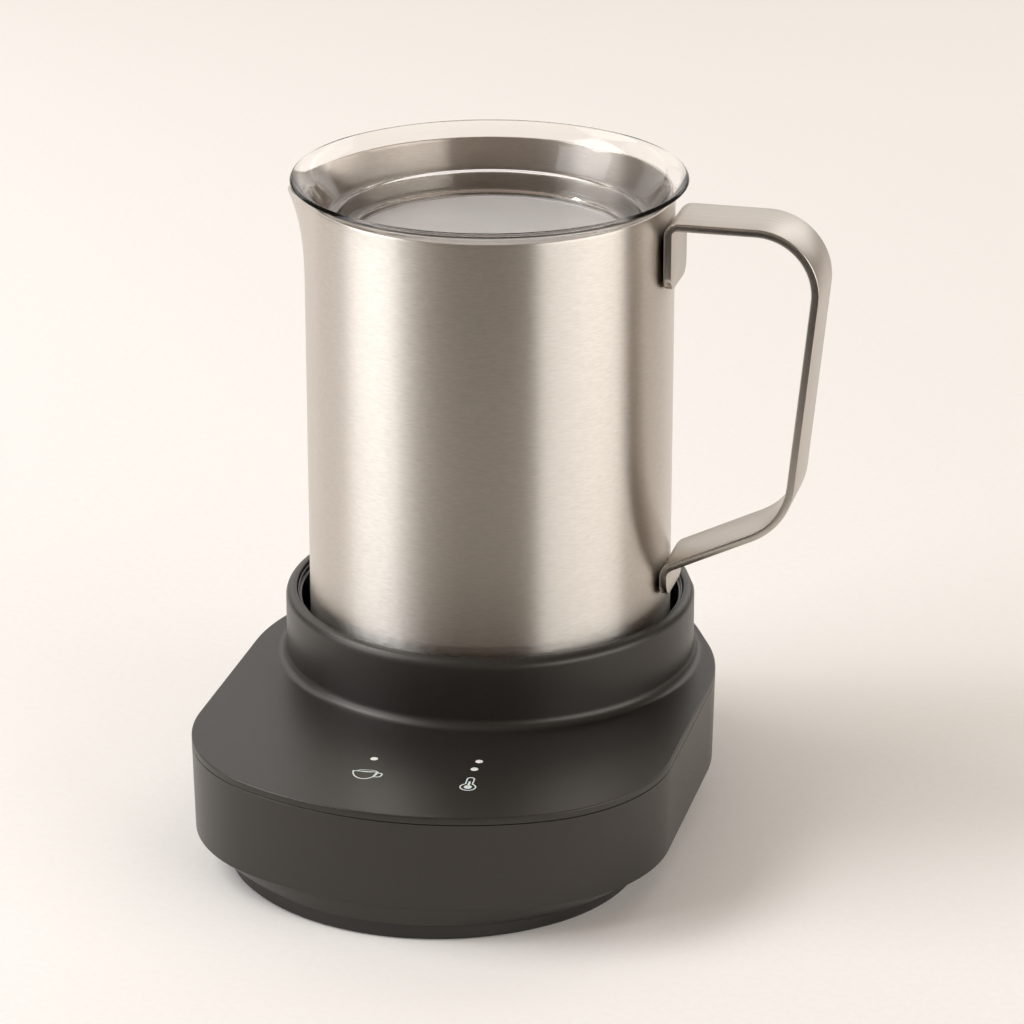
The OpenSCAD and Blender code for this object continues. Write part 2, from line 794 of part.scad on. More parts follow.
// Mains board: filter capacitors, choke, fuse block and the power switch
module power_board() {
    row_y = power_y - power_size[1] / 2 + power_row_in;
    color(board_green)
    difference() {
        translate([-power_size[0] / 2, power_y - power_size[1] / 2, power_z])
            cube([power_size[0], power_size[1], board_t]);
        at_each(power_posts()) rod(board_hole_r, power_z - 1, power_top + 1);
    }
    color([0.12, 0.2, 0.42]) at_each([[-2 * part_w, row_y], [-part_w, row_y]])
        rod(cap_r, power_top, power_top + cap_h);
    color([0.8, 0.6, 0.2]) translate([part_w / 2, row_y, 0])
        ring(choke_hole_r, choke_r, power_top, power_top + choke_h);
    color([0.7, 0.15, 0.1]) translate([1.4 * part_w, row_y - cap_r, power_top])
        cube([part_w, choke_r, choke_h]);
    color([0.1, 0.1, 0.1]) translate([-part_w / 2, sink_y() - switch_t, power_top])
        cube([part_w, switch_t, choke_h]);
}

function sink_y() = power_y + power_size[1] / 2 - sink_size[1] - 1.5;

// Finned block behind the power switch
module heat_sink() {
    fins = floor(sink_size[0] / (3 * sink_fin_w));
    pitch = (sink_size[0] - sink_fin_w) / fins;
    color([0.7, 0.7, 0.71])
    translate([-sink_size[0] / 2, sink_y(), power_top]) difference() {
        cube(sink_size);
        for (k = [0:fins - 1]) translate([sink_fin_w + k * pitch, sink_base_t, sink_base_t])
            cube([pitch - sink_fin_w, sink_size[1], sink_size[2]]);
    }
}

// Touch and display board under the deck
module control_board() {
    color(board_green)
    translate([-control_size[0] / 2, control_y - control_size[1] / 2, control_z])
        cube([control_size[0], control_size[1], board_t]);
    color([0.95, 0.95, 0.85])
    at_each(light_places) translate([-led_size[0] / 2, -led_size[1] / 2, control_top]) cube(led_size);
    color([0.1, 0.1, 0.1]) translate([0, control_y - chip_size[1] / 2, control_z - chip_size[2]])
        cube(chip_size);
}

// Springs that carry the touch fields' charge up to the deck
module touch_springs() {
    color([0.78, 0.72, 0.5])
    at_each(key_places) spring(key_spring_r, key_wire_r, control_top, seam_z - control_top - 2 * e, 4);
}

// Clear rods that take each light from its LED to the deck's surface
module light_guides() {
    color([0.95, 0.95, 0.92])
    at_each(light_places) rod(light_d / 2, control_top + led_size[2], deck_z);
}

// ---------------------------------------------------------------- jug

// How far the lip stands out, as a share, at an angle from its middle
function lip_share(turn) = abs(turn) >= lip_half_angle ? 0 : pow(cos(90 * turn / lip_half_angle), 2);

// One ring of the jug at a height, with the lip's flare added to radius r
function jug_ring(r, z) =
    let (rise = max(0, (z - lip_z) / lip_h), flare = lip_reach * rise * rise)
    [for (i = [0:71]) let (t = 5 * i, rr = r + flare * lip_share(t - 180)) [rr * cos(t), rr * sin(t), z]];

// Drawn steel body with its pouring lip, open at the top
module jug_body() {
    outer_c = [jug_r - jug_corner_r, jug_floor_z + jug_corner_r];
    inner_r = jug_corner_r - jug_wall;
    inner_c = [outer_c[0], jug_floor_top + inner_r];
    lip_steps = 7;
    flare = [for (k = [0:lip_steps]) lip_z + lip_h * k / lip_steps];
    color(steel)
    loft(concat(
        [for (p = arc(outer_c, jug_corner_r, -90, 0, 4)) jug_ring(p[0], p[1])],
        [for (z = but_last(flare)) jug_ring(jug_r, z)],
        [jug_ring(jug_r, rim_z - 0.25), jug_ring(jug_r - 0.25, rim_z), jug_ring(jug_in_r + 0.25, rim_z),
         jug_ring(jug_in_r, rim_z - 0.25)],
        [for (k = [lip_steps - 1:-1:0]) jug_ring(jug_in_r, flare[k])],
        [for (p = arc(inner_c, inner_r, 0, -90, 4)) jug_ring(p[0], p[1])]));
}

// Magnetic steel ring bonded under the jug's floor, with a hole for the whisk's magnets
module induction_ring() {
    edge_r = jug_r - jug_corner_r - 0.8;
    color([0.6, 0.59, 0.57])
    rotate_extrude() polygon([[ring_hole_r, plate_z], [edge_r - 0.6, plate_z],
        [edge_r, plate_z + 0.6], [edge_r, jug_floor_z], [ring_hole_r, jug_floor_z]]);
}

// The bend at corner b of the path a-b-c, for a line d to the left of the path
function unit(v) = v / norm(v);
function to_left(v) = [-v[1], v[0]];
function bend(a, b, c, r, d) =
    let (u = unit(b - a), w = unit(c - b), s = sign(cross(u, w)), turn = acos(u * w),
         start = b - r * tan(turn / 2) * u, centre = start + s * r * to_left(u), rr = r - s * d,
         from = atan2(-s * to_left(u)[1], -s * to_left(u)[0]))
    [for (i = [0:8]) centre + rr * [cos(from + s * turn * i / 8), sin(from + s * turn * i / 8)]];

// One side of the strap: the path moved d to the left, with its bends
function strap_side(path, radii, d) =
    let (last = len(path) - 1)
    concat([path[0] + d * to_left(unit(path[1] - path[0]))],
        [for (i = [1:last - 1]) each bend(path[i - 1], path[i], path[i + 1], radii[i - 1], d)],
        [path[last] + d * to_left(unit(path[last] - path[last - 1]))]);

// Strap of bent steel: upper tab, top run, leaning grip, lower run and lower tab
module handle() {
    mid_x = jug_r + strap_t / 2;
    top_z = rim_z - strap_drop - strap_t / 2;
    top_corner = [jug_r + grip_reach - strap_t / 2 + 0.6, top_z];
    low_corner = top_corner - grip_h * [tan(grip_lean), 1];
    run_x = low_corner[0] - mid_x;
    low_tab = [mid_x, low_corner[1] - run_x * tan(lower_slope)];
    path = [[mid_x, top_z - strap_t - tab_h - 2], [mid_x, top_z], top_corner, low_corner, low_tab,
        low_tab - [0, 8.2]];
    bend_radii = [2.7, 16.3, 12, 3.5];
    weld_r = 3.2;
    color(steel)
    difference() {
        union() {
            rotate([90, 0, 0]) translate([0, 0, -strap_w / 2]) linear_extrude(strap_w)
                polygon(concat(strap_side(path, bend_radii, strap_t / 2),
                    reversed(strap_side(path, bend_radii, -strap_t / 2))));
            for (z = [path[0][1] + tab_cut + 2, path[5][1] + tab_cut]) translate([jug_r - 0.6, 0, z])
                rotate([0, 90, 0]) cylinder(r = weld_r, h = 1);
        }
        tab_corners(path[0][1]);
        tab_corners(path[5][1]);
        rod(jug_r, -1, rim_z + 20);
    }
}

function reversed(p) = [for (i = [len(p) - 1:-1:0]) p[i]];

// Cuts off the two lower corners of a tab whose end is at height z
module tab_corners(z) {
    for (side = [-1, 1]) translate([jug_r + strap_t / 2, side * strap_w / 2, z]) rotate([45, 0, 0])
        cube([strap_t + 1, tab_cut * sqrt(2), tab_cut * sqrt(2)], center = true);
}

// Pin on the jug's floor that the whisk turns on
module whisk_pin() {
    color([0.8, 0.79, 0.76]) {
        rod(pin_foot_r, jug_floor_top, jug_floor_top + pin_foot_t);
        rod(pin_r, jug_floor_top + pin_foot_t - e, pin_top);
    }
}

// Hub with the magnets, a groove for the spring ring and a stem to lift it by
module whisk_hub() {
    color([0.14, 0.14, 0.14])
    difference() {
        union() {
            rod(hub_r, hub_z, hub_flange_z + e);
            rod(hub_flange_r, hub_flange_z, hub_flange_z + hub_flange_t);
            rod(stem_r, hub_flange_z + hub_flange_t - e, hub_flange_z + stem_h - stem_r);
            translate([0, 0, hub_flange_z + stem_h - stem_r]) sphere(r = stem_r);
        }
        rod(hub_bore_r, hub_z - 1, hub_bore_top);
        magnet_pockets(hub_z - 1, hub_z + magnet_h + 0.2);
    }
}

module whisk_magnets() {
    color([0.75, 0.76, 0.78]) magnet_pair(hub_z + 0.2, hub_z + magnet_h + 0.2);
}

// Spring bent into a ring round the hub: a helix whose axis is a circle
module whisk_coil() {
    n = whisk_turns * 8;
    around = [for (k = [0:n - 1]) [cos(360 * k / n), sin(360 * k / n), 0]];
    normals = [for (k = [0:n - 1]) cos(45 * k) * around[k] + [0, 0, sin(45 * k)]];
    points = [for (k = [0:n - 1]) whisk_r * around[k] + turn_r * normals[k] + [0, 0, coil_z]];
    color([0.82, 0.81, 0.78]) sweep(points, normals, wire_r, 5, closed = true);
}

// ---------------------------------------------------------------- lid

// Clear dish: bead, flared rim that rests on the jug's, cone, stepped rings and flat floor
module lid() {
    top = rim_z + lid_rise;
    floor_top = top - lid_depth;
    bead_c = [lid_r - bead_t / 2, top - bead_t / 2];
    ring_r = lid_floor_r + 6.2;
    ring_z = floor_top + 6.2;
    plug_r = jug_in_r - 0.3;
    color(clear)
    rotate_extrude() polygon(concat(
        [[0, floor_top], [lid_floor_r, floor_top], [lid_floor_r + 0.5, floor_top + 1.8],
         [ring_r - 3.3, floor_top + 2.3], [ring_r - 2.6, ring_z + 0.3], [ring_r - 0.6, ring_z + 0.3],
         [ring_r - 0.2, ring_z], [ring_r, ring_z + 0.1], [plug_r - 0.6, rim_z + 0.9],
         [jug_r + 0.4, rim_z + 0.6 * lid_rise]],
        arc(bead_c, bead_t / 2, 110, -80, 8),
        [[lid_r - bead_t, top - bead_t], [jug_r + 0.6, rim_z + 0.9], [jug_r + 0.4, rim_z], [plug_r, rim_z],
         [plug_r, rim_z - 0.4], [ring_r + lid_t * 0.9, ring_z - 0.5],
         [ring_r - 2.6 + lid_t, ring_z - lid_t],
         [ring_r - 3.3 + lid_t, floor_top + 0.8], [lid_floor_r + lid_t, floor_top + 0.3],
         [lid_floor_r + lid_t - 0.4, floor_top - lid_t], [0, floor_top - lid_t]]));
}

foot_ring();
bottom_cover();
bottom_screws();
base_housing();
cord_bush();
top_cover();
cradle_ring();
cradle_plate();
plate_seal();
induction_coil();
coil_carrier();
ferrite_bars();
sensor_guide();
sensor_spring();
temp_sensor();
motor_mount();
motor();
motor_shaft();
drive_rotor();
drive_magnets();
power_board();
heat_sink();
control_board();
touch_springs();
light_guides();
fan_frame();
fan_impeller();
jug_body();
induction_ring();
handle();
whisk_pin();
whisk_hub();
whisk_magnets();
whisk_coil();
lid();
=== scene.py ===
# %% [markdown]
# # A milk frother
# The frother is an induction base with a round collar, and a steel jug with a clear lid that
# stands in the collar. A magnet under the jug turns a small spring whisk inside it.
# Everything that moves or fastens was made in CAD and is loaded here as a fixed frame. This
# lesson makes the smooth outer pieces again, gives every piece its finish, and lights it.

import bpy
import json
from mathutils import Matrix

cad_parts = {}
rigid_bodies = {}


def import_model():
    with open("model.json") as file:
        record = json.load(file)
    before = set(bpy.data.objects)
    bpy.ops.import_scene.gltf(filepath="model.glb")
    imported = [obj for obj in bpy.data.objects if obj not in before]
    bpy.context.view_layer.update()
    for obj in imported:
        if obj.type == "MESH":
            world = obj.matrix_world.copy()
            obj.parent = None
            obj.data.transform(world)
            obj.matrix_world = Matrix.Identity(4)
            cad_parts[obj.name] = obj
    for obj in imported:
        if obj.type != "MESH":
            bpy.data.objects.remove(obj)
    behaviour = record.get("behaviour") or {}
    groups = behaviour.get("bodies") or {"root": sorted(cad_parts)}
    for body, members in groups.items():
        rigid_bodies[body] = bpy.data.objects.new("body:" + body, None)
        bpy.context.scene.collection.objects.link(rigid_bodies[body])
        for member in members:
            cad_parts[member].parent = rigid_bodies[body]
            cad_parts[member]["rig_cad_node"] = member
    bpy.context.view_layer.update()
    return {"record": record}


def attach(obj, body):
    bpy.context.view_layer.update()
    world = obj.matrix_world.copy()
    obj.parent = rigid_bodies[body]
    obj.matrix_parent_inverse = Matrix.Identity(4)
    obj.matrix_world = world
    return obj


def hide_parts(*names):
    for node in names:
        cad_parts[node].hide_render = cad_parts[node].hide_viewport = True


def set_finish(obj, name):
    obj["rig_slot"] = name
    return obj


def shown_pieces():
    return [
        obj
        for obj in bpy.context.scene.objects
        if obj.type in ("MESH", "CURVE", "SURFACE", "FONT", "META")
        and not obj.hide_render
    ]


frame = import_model()

# %% [markdown]
# ## Helpers for modelling
# Blender works in metres here, and the frother is dimensioned in millimetres, so one value
# turns one into the other. Most pieces are turned: a profile is drawn as a chain of edges, and
# the spin operator carries it round the jug's axis. The profile could also be typed in as a
# list of faces, but a spin keeps it a drawing that is easy to change. Corners are rounded in
# the drawing, as a toolmaker would, by an arc that touches both sides.

# %% Drawing a profile and spinning it
import json
from math import acos, asin, atan2, cos, degrees, hypot, pi, radians, sin, sqrt, tan

import bmesh
import bpy
from mathutils import Vector
from mathutils.kdtree import KDTree

MM = 0.001
AROUND = 256                    # steps of a full turn, fine enough for a smooth outline


def rounded(corners, closed=False, step=6):
    """Points along a path of (x, y, radius) corners, each corner an arc of its radius."""
    points = []
    count = len(corners)
    for i, (x, y, radius) in enumerate(corners):
        if radius == 0 or (not closed and i in (0, count - 1)):
            points.append((x, y))
            continue
        (ax, ay, _), (bx, by, _) = corners[i - 1], corners[(i + 1) % count]
        back, on = hypot(ax - x, ay - y), hypot(bx - x, by - y)
        ux, uy, vx, vy = (ax - x) / back, (ay - y) / back, (bx - x) / on, (by - y) / on
        half = acos(max(-1, min(1, ux * vx + uy * vy))) / 2
        middle = hypot(ux + vx, uy + vy)
        cx = x + (ux + vx) / middle * radius / sin(half)
        cy = y + (uy + vy) / middle * radius / sin(half)
        start = atan2(y + uy * radius / tan(half) - cy, x + ux * radius / tan(half) - cx)
        turn = (pi - 2 * half) * (1 if ux * vy - uy * vx < 0 else -1)
        steps = max(2, round(degrees(abs(turn)) / step))
        points += [(cx + radius * cos(start + turn * k / steps),
                    cy + radius * sin(start + turn * k / steps)) for k in range(steps + 1)]
    return points


def new_piece(name, place):
    """A new mesh object that holds one vertex, left in edit mode with that vertex selected."""
    bpy.ops.object.select_all(action="DESELECT")
    bpy.ops.mesh.primitive_plane_add(size=MM, location=(0, 0, 0))
    piece = bpy.context.object
    piece.name = piece.data.name = name
    bpy.ops.object.mode_set(mode="EDIT")
    bpy.ops.mesh.merge(type="CENTER")
    bpy.ops.transform.translate(value=place)
    return piece


def draw(points):
    """Extrude the selected vertex from point to point, in metres."""
    for here, there in zip(points, points[1:]):
        bpy.ops.mesh.extrude_vertices_move(
            TRANSFORM_OT_translate={"value": [b - a for a, b in zip(here, there)]})


def close_seams():
    """Join doubled points and turn every face outwards."""
    bpy.ops.mesh.select_all(action="SELECT")
    bpy.ops.mesh.remove_doubles(threshold=0.0005 * MM)
    bpy.ops.mesh.normals_make_consistent(inside=False)


def finish_mesh(piece, angle=35):
    """Leave edit mode, shade the piece smoothly up to an angle, and say what it has become."""
    bpy.ops.object.mode_set(mode="OBJECT")
    bpy.ops.object.shade_smooth_by_angle(angle=radians(angle))
    size = [round(side / MM, 2) for side in piece.dimensions]
    print(piece.name, "faces:", len(piece.data.polygons), "size in mm:", size)
    return piece


def turned(name, profile, steps=AROUND):
    """A piece turned about the jug's axis from a profile of (radius, height) in millimetres."""
    points = [(r * MM, 0, z * MM) for r, z in profile]
    piece = new_piece(name, points[0])
    draw(points)
    bpy.ops.mesh.select_all(action="SELECT")
    bpy.ops.mesh.spin(steps=steps, angle=2 * pi, center=(0, 0, 0), axis=(0, 0, 1))
    close_seams()
    return piece


def apply(piece, kind, **settings):
    """Add a modifier with its settings and apply it at once."""
    modifier = piece.modifiers.new(kind.title(), kind)
    for name, value in settings.items():
        setattr(modifier, name, value)
    bpy.context.view_layer.objects.active = piece
    bpy.ops.object.modifier_apply(modifier=modifier.name)


def pick(piece, test):
    """Select the vertices whose place, in millimetres, passes a test."""
    mesh = bmesh.from_edit_mesh(piece.data)
    for vertex in mesh.verts:
        vertex.select_set(test(*(c / MM for c in vertex.co)))
    mesh.select_flush_mode()
    bmesh.update_edit_mesh(piece.data)

# %% [markdown]
# ## Camera
# The camera stands 1.2 m away with a long lens, as for a product picture, so the sides stay
# parallel. It looks down about 21 degrees, with the frother turned 14 degrees so that the
# handle comes a little towards it. A wide lens from close up would fit too, but it would
# stretch the near corners of the base.

# %% Camera
VIEW_TURN = 14
VIEW_DOWN = 21.22
CAMERA_AT = (0.2715, -1.0640, 0.5024)
bpy.ops.object.camera_add(location=CAMERA_AT,
                          rotation=(radians(90 - VIEW_DOWN), 0, radians(VIEW_TURN)))
camera = bpy.context.object
camera.data.lens = 150
camera.data.sensor_width = 36
camera.data.clip_end = 20
bpy.context.scene.camera = camera
print("camera height in mm:", round(camera.location.z / MM))

# %% [markdown]
# ## The jug
# The real jug is drawn from one sheet of stainless steel, spun thin, and its edge is pressed
# out into a pouring lip. So it is modelled the same way: the outside is turned as a single
# skin, the lip is pushed out of it with weights, and only then does it get its thickness.
# Pushing the lip out of a finished double wall would pull the two skins apart.

# %% The jug's skin
JUG_R, JUG_WALL, FLOOR_Z, RIM_Z = 50, 0.8, 34.6, 169
LIP_HEIGHT, LIP_REACH, LIP_DROP, LIP_HALF = 24, 5.4, 2.2, 34
lip_rings = [RIM_Z - LIP_HEIGHT * (1 - k / 24) for k in range(25)]
skin = rounded([(0, FLOOR_Z, 0), (JUG_R, FLOOR_Z, 4), (JUG_R, 60, 0)])
jug_shell = turned("jug_shell", skin + [(JUG_R, 100)] + [(JUG_R, z) for z in lip_rings])
bpy.ops.object.mode_set(mode="OBJECT")

# %% The pouring lip
lip = jug_shell.vertex_groups.new(name="lip")
for vertex in jug_shell.data.vertices:
    x, y, z = (c / MM for c in vertex.co)
    turn = abs(degrees(atan2(y, -x)))
    if z > RIM_Z - LIP_HEIGHT and turn < LIP_HALF:
        rise = (z - RIM_Z + LIP_HEIGHT) / LIP_HEIGHT
        lip.add([vertex.index], rise ** 2 * cos(pi / 2 * turn / LIP_HALF) ** 2, "REPLACE")
apply(jug_shell, "DISPLACE", direction="NORMAL", strength=LIP_REACH * MM, mid_level=0,
      vertex_group="lip")
apply(jug_shell, "DISPLACE", direction="Z", strength=-LIP_DROP * MM, mid_level=0,
      vertex_group="lip")
apply(jug_shell, "SOLIDIFY", thickness=JUG_WALL * MM, offset=-1, use_even_offset=True,
      use_rim=True)
bpy.ops.object.mode_set(mode="EDIT")
pick(jug_shell, lambda x, y, z: z > RIM_Z - 0.01)
bpy.ops.mesh.bevel(offset=0.22 * MM, segments=3, affect="EDGES")
close_seams()
finish_mesh(jug_shell, 50)
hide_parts("jug_body")
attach(jug_shell, "jug")
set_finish(jug_shell, "brushed_steel")

# %% [markdown]
# ## The handle
# The handle is one strip of steel, 20 mm wide, bent over rollers and spot-welded to the jug.
# A strip is easiest to make as it is bent: its path is drawn from the side with its bends, the
# path is extruded to the strip's width, and Solidify gives the thickness. Modelling it as a box
# and bending the box would thin the strip in its corners.

# %% The strap
STRAP_W, STRAP_T = 20, 2.2
TAB_X, GRIP_TOP = 51.1, 165.1                   # middle of the strip's thickness
UPPER_END, LOWER_END = 146.9, 59.46             # where the tabs are cut off
strap_path = rounded([(TAB_X, UPPER_END, 0), (TAB_X, GRIP_TOP, 2.7), (92.5, GRIP_TOP, 16.3),
                      (84.54, 83.9, 19), (TAB_X, 67.66, 3.5), (TAB_X, LOWER_END, 0)], step=3)
places = [(x * MM, -STRAP_W / 2 * MM, z * MM) for x, z in strap_path]
strap_handle = new_piece("strap_handle", places[0])
draw(places)
bpy.ops.mesh.select_all(action="SELECT")
bpy.ops.mesh.extrude_edges_move(TRANSFORM_OT_translate={"value": (0, STRAP_W * MM, 0)})

# %% Cut the tabs' corners, then give the strip its thickness and worn edges
pick(strap_handle, lambda x, y, z: min(abs(z - UPPER_END), abs(z - LOWER_END)) < 0.01)
bpy.ops.mesh.bevel(offset=4 * MM, segments=6, affect="VERTICES")
close_seams()
bpy.ops.object.mode_set(mode="OBJECT")
apply(strap_handle, "SOLIDIFY", thickness=STRAP_T * MM, offset=0, use_even_offset=True)
apply(strap_handle, "BEVEL", width=0.3 * MM, segments=3, limit_method="ANGLE",
      angle_limit=radians(50))
bpy.ops.object.mode_set(mode="EDIT")
close_seams()

# %% Weld pads between the tabs and the round wall
for height in (UPPER_END + 6, LOWER_END + 4):
    bpy.ops.mesh.primitive_cylinder_add(vertices=32, radius=3.2 * MM, depth=1.2 * MM,
                                        location=(50 * MM, 0, height * MM),
                                        rotation=(0, pi / 2, 0))
finish_mesh(strap_handle)
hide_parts("handle")
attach(strap_handle, "jug")
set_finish(strap_handle, "steel_strap")

# %% [markdown]
# ## The lid
# The lid is a clear dish moulded in one piece: a flare that rests on the jug's rim, a cone, and
# stepped rings down to a flat floor. Its wall is equally thick all over, as a moulder wants it,
# and that is also what keeps the view through it clear: where two sides aren't parallel, the
# plastic bends light like a lens. So only the underside is turned, as a skin, and Solidify
# gives it the wall. Drawing both sides by hand would never keep them so even.

# %% The lid's underside, its wall and its blunt edge
LID_WALL, LID_FLOOR, LID_EDGE = 1.2, 154.4, 172.3
under = rounded([(0, LID_FLOOR, 0), (37.8, LID_FLOOR, 1.5), (38.2, 156.3, 0.4), (41.1, 156.7, 1.5),
                 (41.8, 160.9, 0.5), (44.3, 161.1, 1.5), (49.25, 169.42, 9), (53.65, LID_EDGE, 0)],
                step=10)
lid_clear = turned("lid_clear", under)
bpy.ops.object.mode_set(mode="OBJECT")
apply(lid_clear, "SOLIDIFY", thickness=LID_WALL * MM, offset=1, use_even_offset=True,
      use_rim=True)
bpy.ops.object.mode_set(mode="EDIT")
pick(lid_clear, lambda x, y, z: z > LID_EDGE - 0.1)
bpy.ops.mesh.bevel(offset=0.25 * MM, segments=3, affect="EDGES")
close_seams()
finish_mesh(lid_clear, 40)
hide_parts("lid")
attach(lid_clear, "lid")
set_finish(lid_clear, "clear_plastic")

# %% [markdown]
# ## The base, from outside
# The deck with its collar and the wall below it are two mouldings that meet at a seam. Their
# outline is a row of arcs that touch: a back that follows the collar, rounded sides and corners
# and a bowed front. A curve with a bevel could follow it, but a curve can't change its outline
# on the way up. So the outline is drawn once, and then extruded from section to section, as a
# mould's sections are lofted, with each new ring moved onto the drawing for its height.

# %% Outlines from arcs
OUTLINE_STEP, SIDE_STEPS = 1.5, 16              # degrees between points, steps along the side


def arc_points(x, y, radius, start, end, steps):
    """Points of an arc about (x, y), from one angle to another in equal steps."""
    turns = [radians(start + (end - start) * k / steps) for k in range(steps + 1)]
    return [(x + radius * cos(turn), y + radius * sin(turn)) for turn in turns]


def outline(inset, half, front, bow, corner, back, side_y=11):
    """Points of an outline of the base, counter-clockwise, moved inwards by an inset.

    Point by point, all outlines face the same way, so a wall lofted between two isn't twisted."""
    lean = degrees(asin((half - back) / side_y))
    drop = sqrt((bow - corner) ** 2 - (half - corner) ** 2)
    meet = degrees(atan2(drop, half - corner))
    corner_y = bow - front - drop
    arcs = [(-90, 0, bow - front, bow), (-meet, half - corner, corner_y, corner),
            (0.1, 0, -side_y, half), (lean, 0, 0, back)]    # each from a direction onwards
    right = []
    for step in range(-60, 61):
        turn = OUTLINE_STEP * step
        x, y, radius = [arc[1:] for arc in arcs if arc[0] <= turn][-1]
        right.append((x + (radius - inset) * cos(radians(turn)),
                      y + (radius - inset) * sin(radians(turn))))
        if turn == 0:                                       # the straight side
            length = corner_y + side_y
            right += [(half - inset, corner_y - length * k / SIDE_STEPS)
                      for k in range(1, SIDE_STEPS + 1)]
    return right + [(-x, y) for x, y in reversed(right)][1:-1]


def deck_outline(inset):
    return outline(inset, half=65, front=113, bow=87, corner=46, back=60.2)


def plinth_outline(inset):
    return outline(inset, half=56.5, front=111.3, bow=61, corner=45, back=55.6)


def foot_outline(inset):
    return outline(inset, half=55.3, front=111.8, bow=57.5, corner=48, back=54.4)


def circle(radius):
    """A round ring whose points lie at the same angles as the deck outline's."""
    return [(radius * x / hypot(x, y), radius * y / hypot(x, y)) for x, y in deck_outline(0)]


# %% A surface through drawn sections
def reshape(piece, before, after):
    """Move each selected vertex from its point on one drawing to the same point of the next."""
    places = KDTree(len(before))
    for number, place in enumerate(before):
        places.insert(place, number)
    places.balance()
    mesh = bmesh.from_edit_mesh(piece.data)
    for vertex in mesh.verts:
        if vertex.select:
            vertex.co = after[places.find(vertex.co)[1]]
    bmesh.update_edit_mesh(piece.data)


def lofted(name, sections):
    """A surface through (points, height) sections, left in edit mode."""
    rings = [[(x * MM, y * MM, height * MM) for x, y in points] for points, height in sections]
    piece = new_piece(name, rings[0][0])
    draw(rings[0] + rings[0][:1])
    bpy.ops.mesh.select_all(action="SELECT")
    bpy.ops.mesh.remove_doubles(threshold=0.001 * MM)
    for before, after in zip(rings, rings[1:]):
        bpy.ops.mesh.extrude_edges_move(TRANSFORM_OT_translate={"value": (0, 0, 0)})
        reshape(piece, before, after)
    return piece

# %% Deck and collar
DECK_Z, SEAM_Z, COLLAR_Z, EDGE = 35.8, 33.8, 55.3, 0.4
COLLAR_R, WELL_R, SEAT_R = 56.7, 53.6, 41.5
SEAT_TOP, SEAT_LOW = 29.4, 27.4                 # the ledge under the plate and its seal
rib = [(deck_outline(4), SEAM_Z), (deck_outline(4), SEAM_Z - 3.4),
       (deck_outline(2.7), SEAM_Z - 3.4), (deck_outline(2.7), SEAM_Z)]
edge = [(deck_outline(0.06), SEAM_Z), (deck_outline(0), SEAM_Z + 0.06)]
for angle in (0, 22.5, 45, 67.5, 90):
    sink = EDGE - EDGE * cos(radians(angle))
    edge.append((deck_outline(sink), DECK_Z - EDGE + EDGE * sin(radians(angle))))
edge.append((deck_outline(EDGE + 0.03), DECK_Z))
collar = rounded([(COLLAR_R + 2.86, DECK_Z, 0), (COLLAR_R, DECK_Z, 2.8), (COLLAR_R, COLLAR_Z, 2.6),
                  (WELL_R, COLLAR_Z, 0.4), (WELL_R, SEAT_TOP, 0.3), (SEAT_R, SEAT_TOP, 0),
                  (SEAT_R, SEAT_LOW, 0), (55.8, SEAT_LOW, 0), (55.8, SEAM_Z, 0)])
deck_and_collar = lofted("deck_and_collar",
                         rib + edge + [(circle(r), z) for r, z in collar] + rib[:1])
close_seams()
finish_mesh(deck_and_collar)
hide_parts("top_cover")
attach(deck_and_collar, "base")
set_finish(deck_and_collar, "satin_charcoal")

# %% Wall of the base
PLINTH_Z, WALL_FOOT, WALL_TOP, WALL = 3.9, 9.3, 33.6, 2.6
wall_sections = [(plinth_outline(0), PLINTH_Z), (deck_outline(1), WALL_FOOT),
                 (deck_outline(0.6), WALL_FOOT), (deck_outline(0.5), WALL_FOOT + 0.1),
                 (deck_outline(0), WALL_TOP - 0.06), (deck_outline(0.06), WALL_TOP),
                 (deck_outline(WALL), WALL_TOP), (deck_outline(WALL + 0.6), WALL_FOOT + 0.8),
                 (plinth_outline(WALL), PLINTH_Z)]
base_wall = lofted("base_wall", wall_sections + wall_sections[:1])
close_seams()
finish_mesh(base_wall)
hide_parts("base_housing")
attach(base_wall, "base")
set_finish(base_wall, "satin_charcoal")

# %% The glossy sleeve inside the collar
sleeve = rounded([(52.3, 33, 0), (53.5, 33, 0), (53.5, 54.5, 0.3), (52.9, 54.5, 0.3),
                  (52.9, 53.1, 0.1), (52.3, 53.1, 0.25), (52.3, 33, 0)], step=20)
cradle_sleeve = turned("cradle_sleeve", sleeve)
finish_mesh(cradle_sleeve)
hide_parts("cradle_ring")
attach(cradle_sleeve, "base")
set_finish(cradle_sleeve, "gloss_black")

# %% [markdown]
# ## Holes and small turned pieces
# Light windows, vents and screw holes are drilled or moulded through the walls. A Boolean with
# a cutter of the hole's shape gives a true hole with a wall of its own. Inset and delete would
# do on a flat face, but not where the hole crosses the faces of a turned or lofted wall.

# %% Cutters
def place_copies(piece, places):
    """Copy a piece made on the jug's axis to each (x, y) place, all in one mesh."""
    bpy.ops.object.mode_set(mode="OBJECT")
    copies = []
    for x, y in places:
        bpy.ops.object.select_all(action="DESELECT")
        piece.select_set(True)
        bpy.context.view_layer.objects.active = piece
        bpy.ops.object.duplicate()
        copies.append(bpy.context.object)
        copies[-1].location = (x * MM, y * MM, 0)
    bpy.ops.object.select_all(action="DESELECT")
    for copy in copies:
        copy.select_set(True)
    bpy.context.view_layer.objects.active = copies[0]
    bpy.ops.object.join()
    bpy.ops.object.transform_apply()
    joined = bpy.context.object
    name = piece.name
    bpy.data.objects.remove(piece)
    joined.name = joined.data.name = name
    return joined


